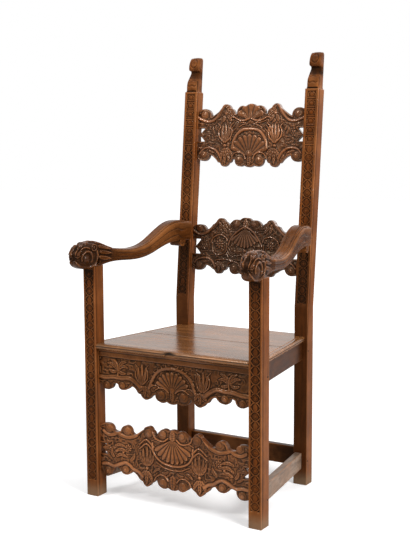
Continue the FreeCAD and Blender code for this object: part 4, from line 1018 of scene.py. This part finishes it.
def head_design(relief, limb):
    """A grimacing beast: muzzle, jaw, rolled cheek, eye, brow and a mane that runs into the arm."""
    at, line = limb.at, limb.line
    relief.raise_to(slice(None), 0.26 * ramp(relief.u, -190, -210))
    relief.boss(at(-283, 727), 13, 0.85, 0.9)
    relief.boss(at(-287, 732), 6.5, 1.0, 0.9)
    relief.roll(line((-291, 719), (-285, 716), (-278, 721)), 6.5, 0.9, 5)
    for tooth in line((-291, 710), (-286, 708), (-281, 706)):
        relief.boss(tooth, 3.2, 0.7)
    relief.roll(line((-290, 703), (-282, 696), (-267, 688), (-247, 685), (-231, 692), (-220, 704),
                     (-215, 718), (-218, 730)), 9, 1.0, 7)
    relief.boss(at(-284, 694), 10, 0.85)
    cheek = at(-256, 713)
    relief.roll([(cheek[0] - 20 * math.cos(turn), cheek[1] + 18 * math.sin(turn))
                 for turn in np.linspace(-0.4, 3.7, 12)], 8, 1.0, 7)
    relief.boss((cheek[0] + 1, cheek[1] - 3), 13, 0.80, 0.9)
    relief.roll(line((-282, 724), (-275, 736), (-261, 741), (-246, 738)), 6.5, 1.0, 5)
    eye = at(-228, 739)
    relief.roll(ring(eye, 9.5, 7.5), 4.5, 0.95)
    relief.boss(eye, 5, 0.8)
    relief.boss(at(-247, 756), 13, 1.0, 0.9)
    relief.boss(at(-268, 748), 11, 1.0, 0.9)
    relief.roll([(-250, 53), (-228, 50), (-205, 44), (-178, 38), (-145, 34)], 10, 1.0, 8)
    relief.roll([(-304, 26), (-290, 36), (-276, 44), (-262, 52)], 9, 0.95, 8)
    relief.blades([line((-211, 742), (-184, 737), (-150, 729)), line((-206, 728), (-180, 723), (-146, 718)),
                   line((-208, 713), (-182, 708), (-148, 704)), line((-216, 753), (-194, 751), (-160, 742))],
                  15, 0.95, 0, 0.2, 0.15)


def shaft_design(relief, limb):
    """The swept arm behind the head: long flutes, and a scroll at its end."""
    relief.raise_to(slice(None), ramp(limb.u, -156, -122))
    for level, cut in ((10, 2.2), (30, 2.6), (42, 1.8), (-13, 2.4), (-27, 1.6)):
        relief.groove([(-146, level * 0.9), (-60, level), (60, level), (176, level * 0.9)], 4.4, cut)
    u, v = limb.at(162, 727)
    relief.groove([(u + (9 - turn) * math.cos(turn * 1.6 + 1.0), v + (9 - turn) * math.sin(turn * 1.6 + 1.0))
                   for turn in np.linspace(0, 7, 16)], 3.4, 2.0)


def carve_arm(node):
    """Cut a head into the front of an arm and flutes into the rest."""
    sizes = carving()
    piece, mesh = evened(node, "carved", sizes.arm_voxel, 4)
    points = points_of(mesh)
    limb = Limb(points)
    depth = sizes.head_depth / MM
    relief = Relief(limb.u + hashed(points, 40.0, 4) * 0.8, limb.v + hashed(points, 40.0, 7) * 0.8, depth)
    head_design(relief, limb)
    shaft_design(relief, limb)
    height = np.clip(relief.height, 0, depth) + gouged(points)
    forehead = np.hypot((limb.y + 284) / 8, (limb.z - 746) / 8)
    muzzle = ramp(limb.y, -287, -291) * ramp(limb.z, 700, 706)
    sink = np.clip(depth - height, 0, None) + 5.0 * bell(forehead, 0, 1) + 2.5 * muzzle
    sink = sink * ramp(limb.over_base, 1.5, 6.5) * ramp(limb.u, 198, 186)
    sink = averaged(sink, edges_of(mesh), 5)
    set_points(mesh, points - normals_of(mesh) * (sink * MM)[:, None])
    upright = normals_of(mesh)[:, 2]
    head = ramp(limb.u, -170, -200)
    # Painted light: the shaft's upward faces and the head's upward ridges are lightened as if lit from
    # above, and a painted sheen runs along the shaft's upper side; the head is darker overall
    rubbed_and_highlight = (np.clip(upright, 0, 1) * ramp(limb.u, -210, -120) * 0.12
              + bell(limb.v, 21, 8) * (1 - head) * 0.45
              + np.clip(upright - 0.25, 0, 1) * head * np.clip(1 - sink / depth, 0, 1) * 0.65
              - head * 0.22)
    finish_surface(mesh, np.clip(sink / depth, 0, 1) ** 1.3 * 0.80 + head * 0.10, 2.2, 2.6, rubbed_and_highlight)
    dressed(piece, "arm", node, "arm")


# Stage

# Name, place, aim, size and power of each lamp
LAMPS = (
    ("key", (3.0, -1.0, 2.3), (0.0, 0.0, 0.6), 1.2, 118),
    ("fill", (-1.7, -2.6, 2.9), (0.0, 0.0, 0.7), 0.6, 50),
    ("back", (0.6, 3.0, 2.6), (0.0, 0.0, 0.7), 2.0, 26),
    ("over", (-0.3, 0.2, 3.3), (0.0, 0.0, 0.5), 1.4, 22),
)
CAMERA_AT = (1.59955, -2.66785, 1.05097)
CAMERA_YAW, CAMERA_PITCH, CAMERA_ROLL = (math.radians(angle) for angle in (31.1864, -7.3309, -0.2392))
CAMERA_LENS = 69.77


def make_floor():
    """A pale matt floor, with a glow that only the camera sees."""
    mesh = bpy.data.meshes.new("floor")
    work = bmesh.new()
    bmesh.ops.create_grid(work, x_segments=1, y_segments=1, size=14.0)
    work.to_mesh(mesh)
    work.free()
    s = Shader(bpy.data.materials.new("pale_floor"))
    seen = s.add("ShaderNodeLightPath").out("Is Camera Ray")
    place = s.add("ShaderNodeTexCoord").out("Object")
    far = s.add("ShaderNodeVectorMath", {"operation": "LENGTH"}, {0: place}).out(1).above(0.9, 3.2)
    grey = s.mix(far * seen, (0.40, 0.40, 0.40), (0.95, 0.95, 0.95))
    glow = s.add("ShaderNodeEmission", {}, {"Color": s.mix(seen, (0.0, 0.0, 0.0), grey)}).out()
    matt = s.add("ShaderNodeBsdfDiffuse", {}, {"Color": (0.86, 0.86, 0.86, 1.0)}).out()
    both = s.add("ShaderNodeAddShader", {}, {0: matt, 1: glow}).out()
    s.add("ShaderNodeOutputMaterial", {}, {"Surface": both})
    mesh.materials.append(s.owner)
    floor = placed("floor", mesh)
    floor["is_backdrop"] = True


def make_world(scene):
    """Soft light from all sides, and white wherever the camera or a reflection looks."""
    s = Shader(bpy.data.worlds.new("studio"))
    path = s.add("ShaderNodeLightPath")
    seen = path.out("Is Camera Ray").maths("MAXIMUM", path.out("Is Glossy Ray"))
    seen = seen.maths("MAXIMUM", path.out("Is Transmission Ray"))
    soft = s.add("ShaderNodeBackground", {}, {"Color": (0.95, 0.97, 1.0, 1.0), "Strength": 0.26}).out()
    white = s.add("ShaderNodeBackground", {}, {"Color": (1.0, 1.0, 1.0, 1.0), "Strength": 1.0}).out()
    mixed = s.add("ShaderNodeMixShader", {}, {0: seen, 1: soft, 2: white}).out()
    s.add("ShaderNodeOutputWorld", {}, {"Surface": mixed})
    scene.world = s.owner


def make_lamps():
    for name, place, aim, size, power in LAMPS:
        lamp = bpy.data.lights.new(name, "AREA")
        lamp.size, lamp.energy = size, power
        holder = placed(name, lamp)
        holder.location = place
        holder.rotation_euler = (Vector(aim) - Vector(place)).to_track_quat("-Z", "Y").to_euler()


def make_camera(scene):
    lens = bpy.data.cameras.new("camera")
    lens.lens, lens.sensor_width, lens.sensor_fit, lens.clip_end = CAMERA_LENS, 36.0, "AUTO", 60.0
    scene.camera = placed("camera", lens)
    scene.camera.matrix_world = (Matrix.Translation(CAMERA_AT) @ Matrix.Rotation(CAMERA_YAW, 4, "Z")
                                 @ Matrix.Rotation(math.pi / 2 + CAMERA_PITCH, 4, "X")
                                 @ Matrix.Rotation(CAMERA_ROLL, 4, "Z"))


# Operators

class MakeBoards(bpy.types.Operator):
    """Carve the crest, lower splat, apron and front stretcher"""

    bl_idname = "armchair.make_boards"
    bl_label = "Carve boards"

    def execute(self, context):
        carve_board("crest_board", crest_design, end_zone(SPLAT_END), "crest")
        carve_board("lower_splat", lower_design, end_zone(SPLAT_END), "splat")
        carve_board("front_stretcher", stretcher_design, end_zone(BOARD_END), "stretcher")
        carve_board("front_apron", apron_design, lambda u, v: abs(u) > BOARD_END or v > APRON_TOP, "apron")
        return {"FINISHED"}


class MakePosts(bpy.types.Operator):
    """Cut the ornament into the front posts and the rear stiles"""

    bl_idname = "armchair.make_posts"
    bl_label = "Carve posts and stiles"

    def execute(self, context):
        for side, sign in SIDES:
            carve_post(f"front_post_{side}", sign * POST_MIDDLE, 50, 675, 25)
            carve_post(f"rear_stile_{side}", sign * STILE_MIDDLE, 15, 647, 26.3, stile=True)
        return {"FINISHED"}


class MakeArms(bpy.types.Operator):
    """Shape the arms and their heads"""

    bl_idname = "armchair.make_arms"
    bl_label = "Shape arms"

    def execute(self, context):
        for side, _ in SIDES:
            carve_arm(f"arm_{side}")
        return {"FINISHED"}


class MakeSeat(bpy.types.Operator):
    """Finish the seat planks and mouldings"""

    bl_idname = "armchair.make_seat"
    bl_label = "Finish seat"

    def execute(self, context):
        for node in ("seat_board_front", "seat_board_rear"):
            plain_member(node, "seat", joints=True)
        for node in ("front_moulding", "side_moulding_right", "side_moulding_left"):
            plain_member(node, "moulding", quirk=8.0)
        return {"FINISHED"}


class MakeRails(bpy.types.Operator):
    """Finish rails, stretchers, glue blocks and pegs"""

    bl_idname = "armchair.make_rails"
    bl_label = "Finish rails"

    def execute(self, context):
        for side, _ in SIDES:
            plain_member(f"side_seat_rail_{side}", "side_rail")
            plain_member(f"side_stretcher_{side}", "side_member")
        for node in ("rear_seat_rail", "rear_stretcher"):
            plain_member(node, "cross_member")
        for node, piece in NODES.items():
            if "pegs" in node or node == "glue_blocks":
                finished(piece.data, "peg")
        return {"FINISHED"}


class MakeStage(bpy.types.Operator):
    """Lay the pale floor, the lamps and the camera"""

    bl_idname = "armchair.make_stage"
    bl_label = "Make stage"

    def execute(self, context):
        context.scene.view_settings.view_transform = "Standard"
        make_floor()
        make_world(context.scene)
        make_lamps()
        make_camera(context.scene)
        return {"FINISHED"}


class ArmchairPanel(bpy.types.Panel):
    """Lists the armchair's operators and sizes."""

    bl_idname = "VIEW3D_PT_armchair"
    bl_label = "Armchair"
    bl_space_type = "VIEW_3D"
    bl_region_type = "UI"
    bl_category = "Armchair"

    def draw(self, context):
        for group in (context.scene.armchair_carving, context.scene.armchair_finish):
            for name in group.__annotations__:
                self.layout.prop(group, name)
        for operator in OPERATORS:
            self.layout.operator(operator.bl_idname)


OPERATORS = (MakeBoards, MakePosts, MakeArms, MakeSeat, MakeRails, MakeStage)
CLASSES = (ArmchairCarving, ArmchairFinish, *OPERATORS, ArmchairPanel)


def register():
    for cls in CLASSES:
        bpy.utils.register_class(cls)
    bpy.types.Scene.armchair_carving = PointerProperty(type=ArmchairCarving)
    bpy.types.Scene.armchair_finish = PointerProperty(type=ArmchairFinish)


def unregister():
    del bpy.types.Scene.armchair_finish
    del bpy.types.Scene.armchair_carving
    for cls in reversed(CLASSES):
        bpy.utils.unregister_class(cls)


def corners(box):
    return [[float(value) for value in corner] for corner in box]


def main():
    register()
    for operator in OPERATORS:
        group, name = operator.bl_idname.split(".")
        getattr(getattr(bpy.ops, group), name)()
    {"cad": corners(CAD_BOX), "visual": corners(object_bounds())}


if __name__ == "__main__":
    main()
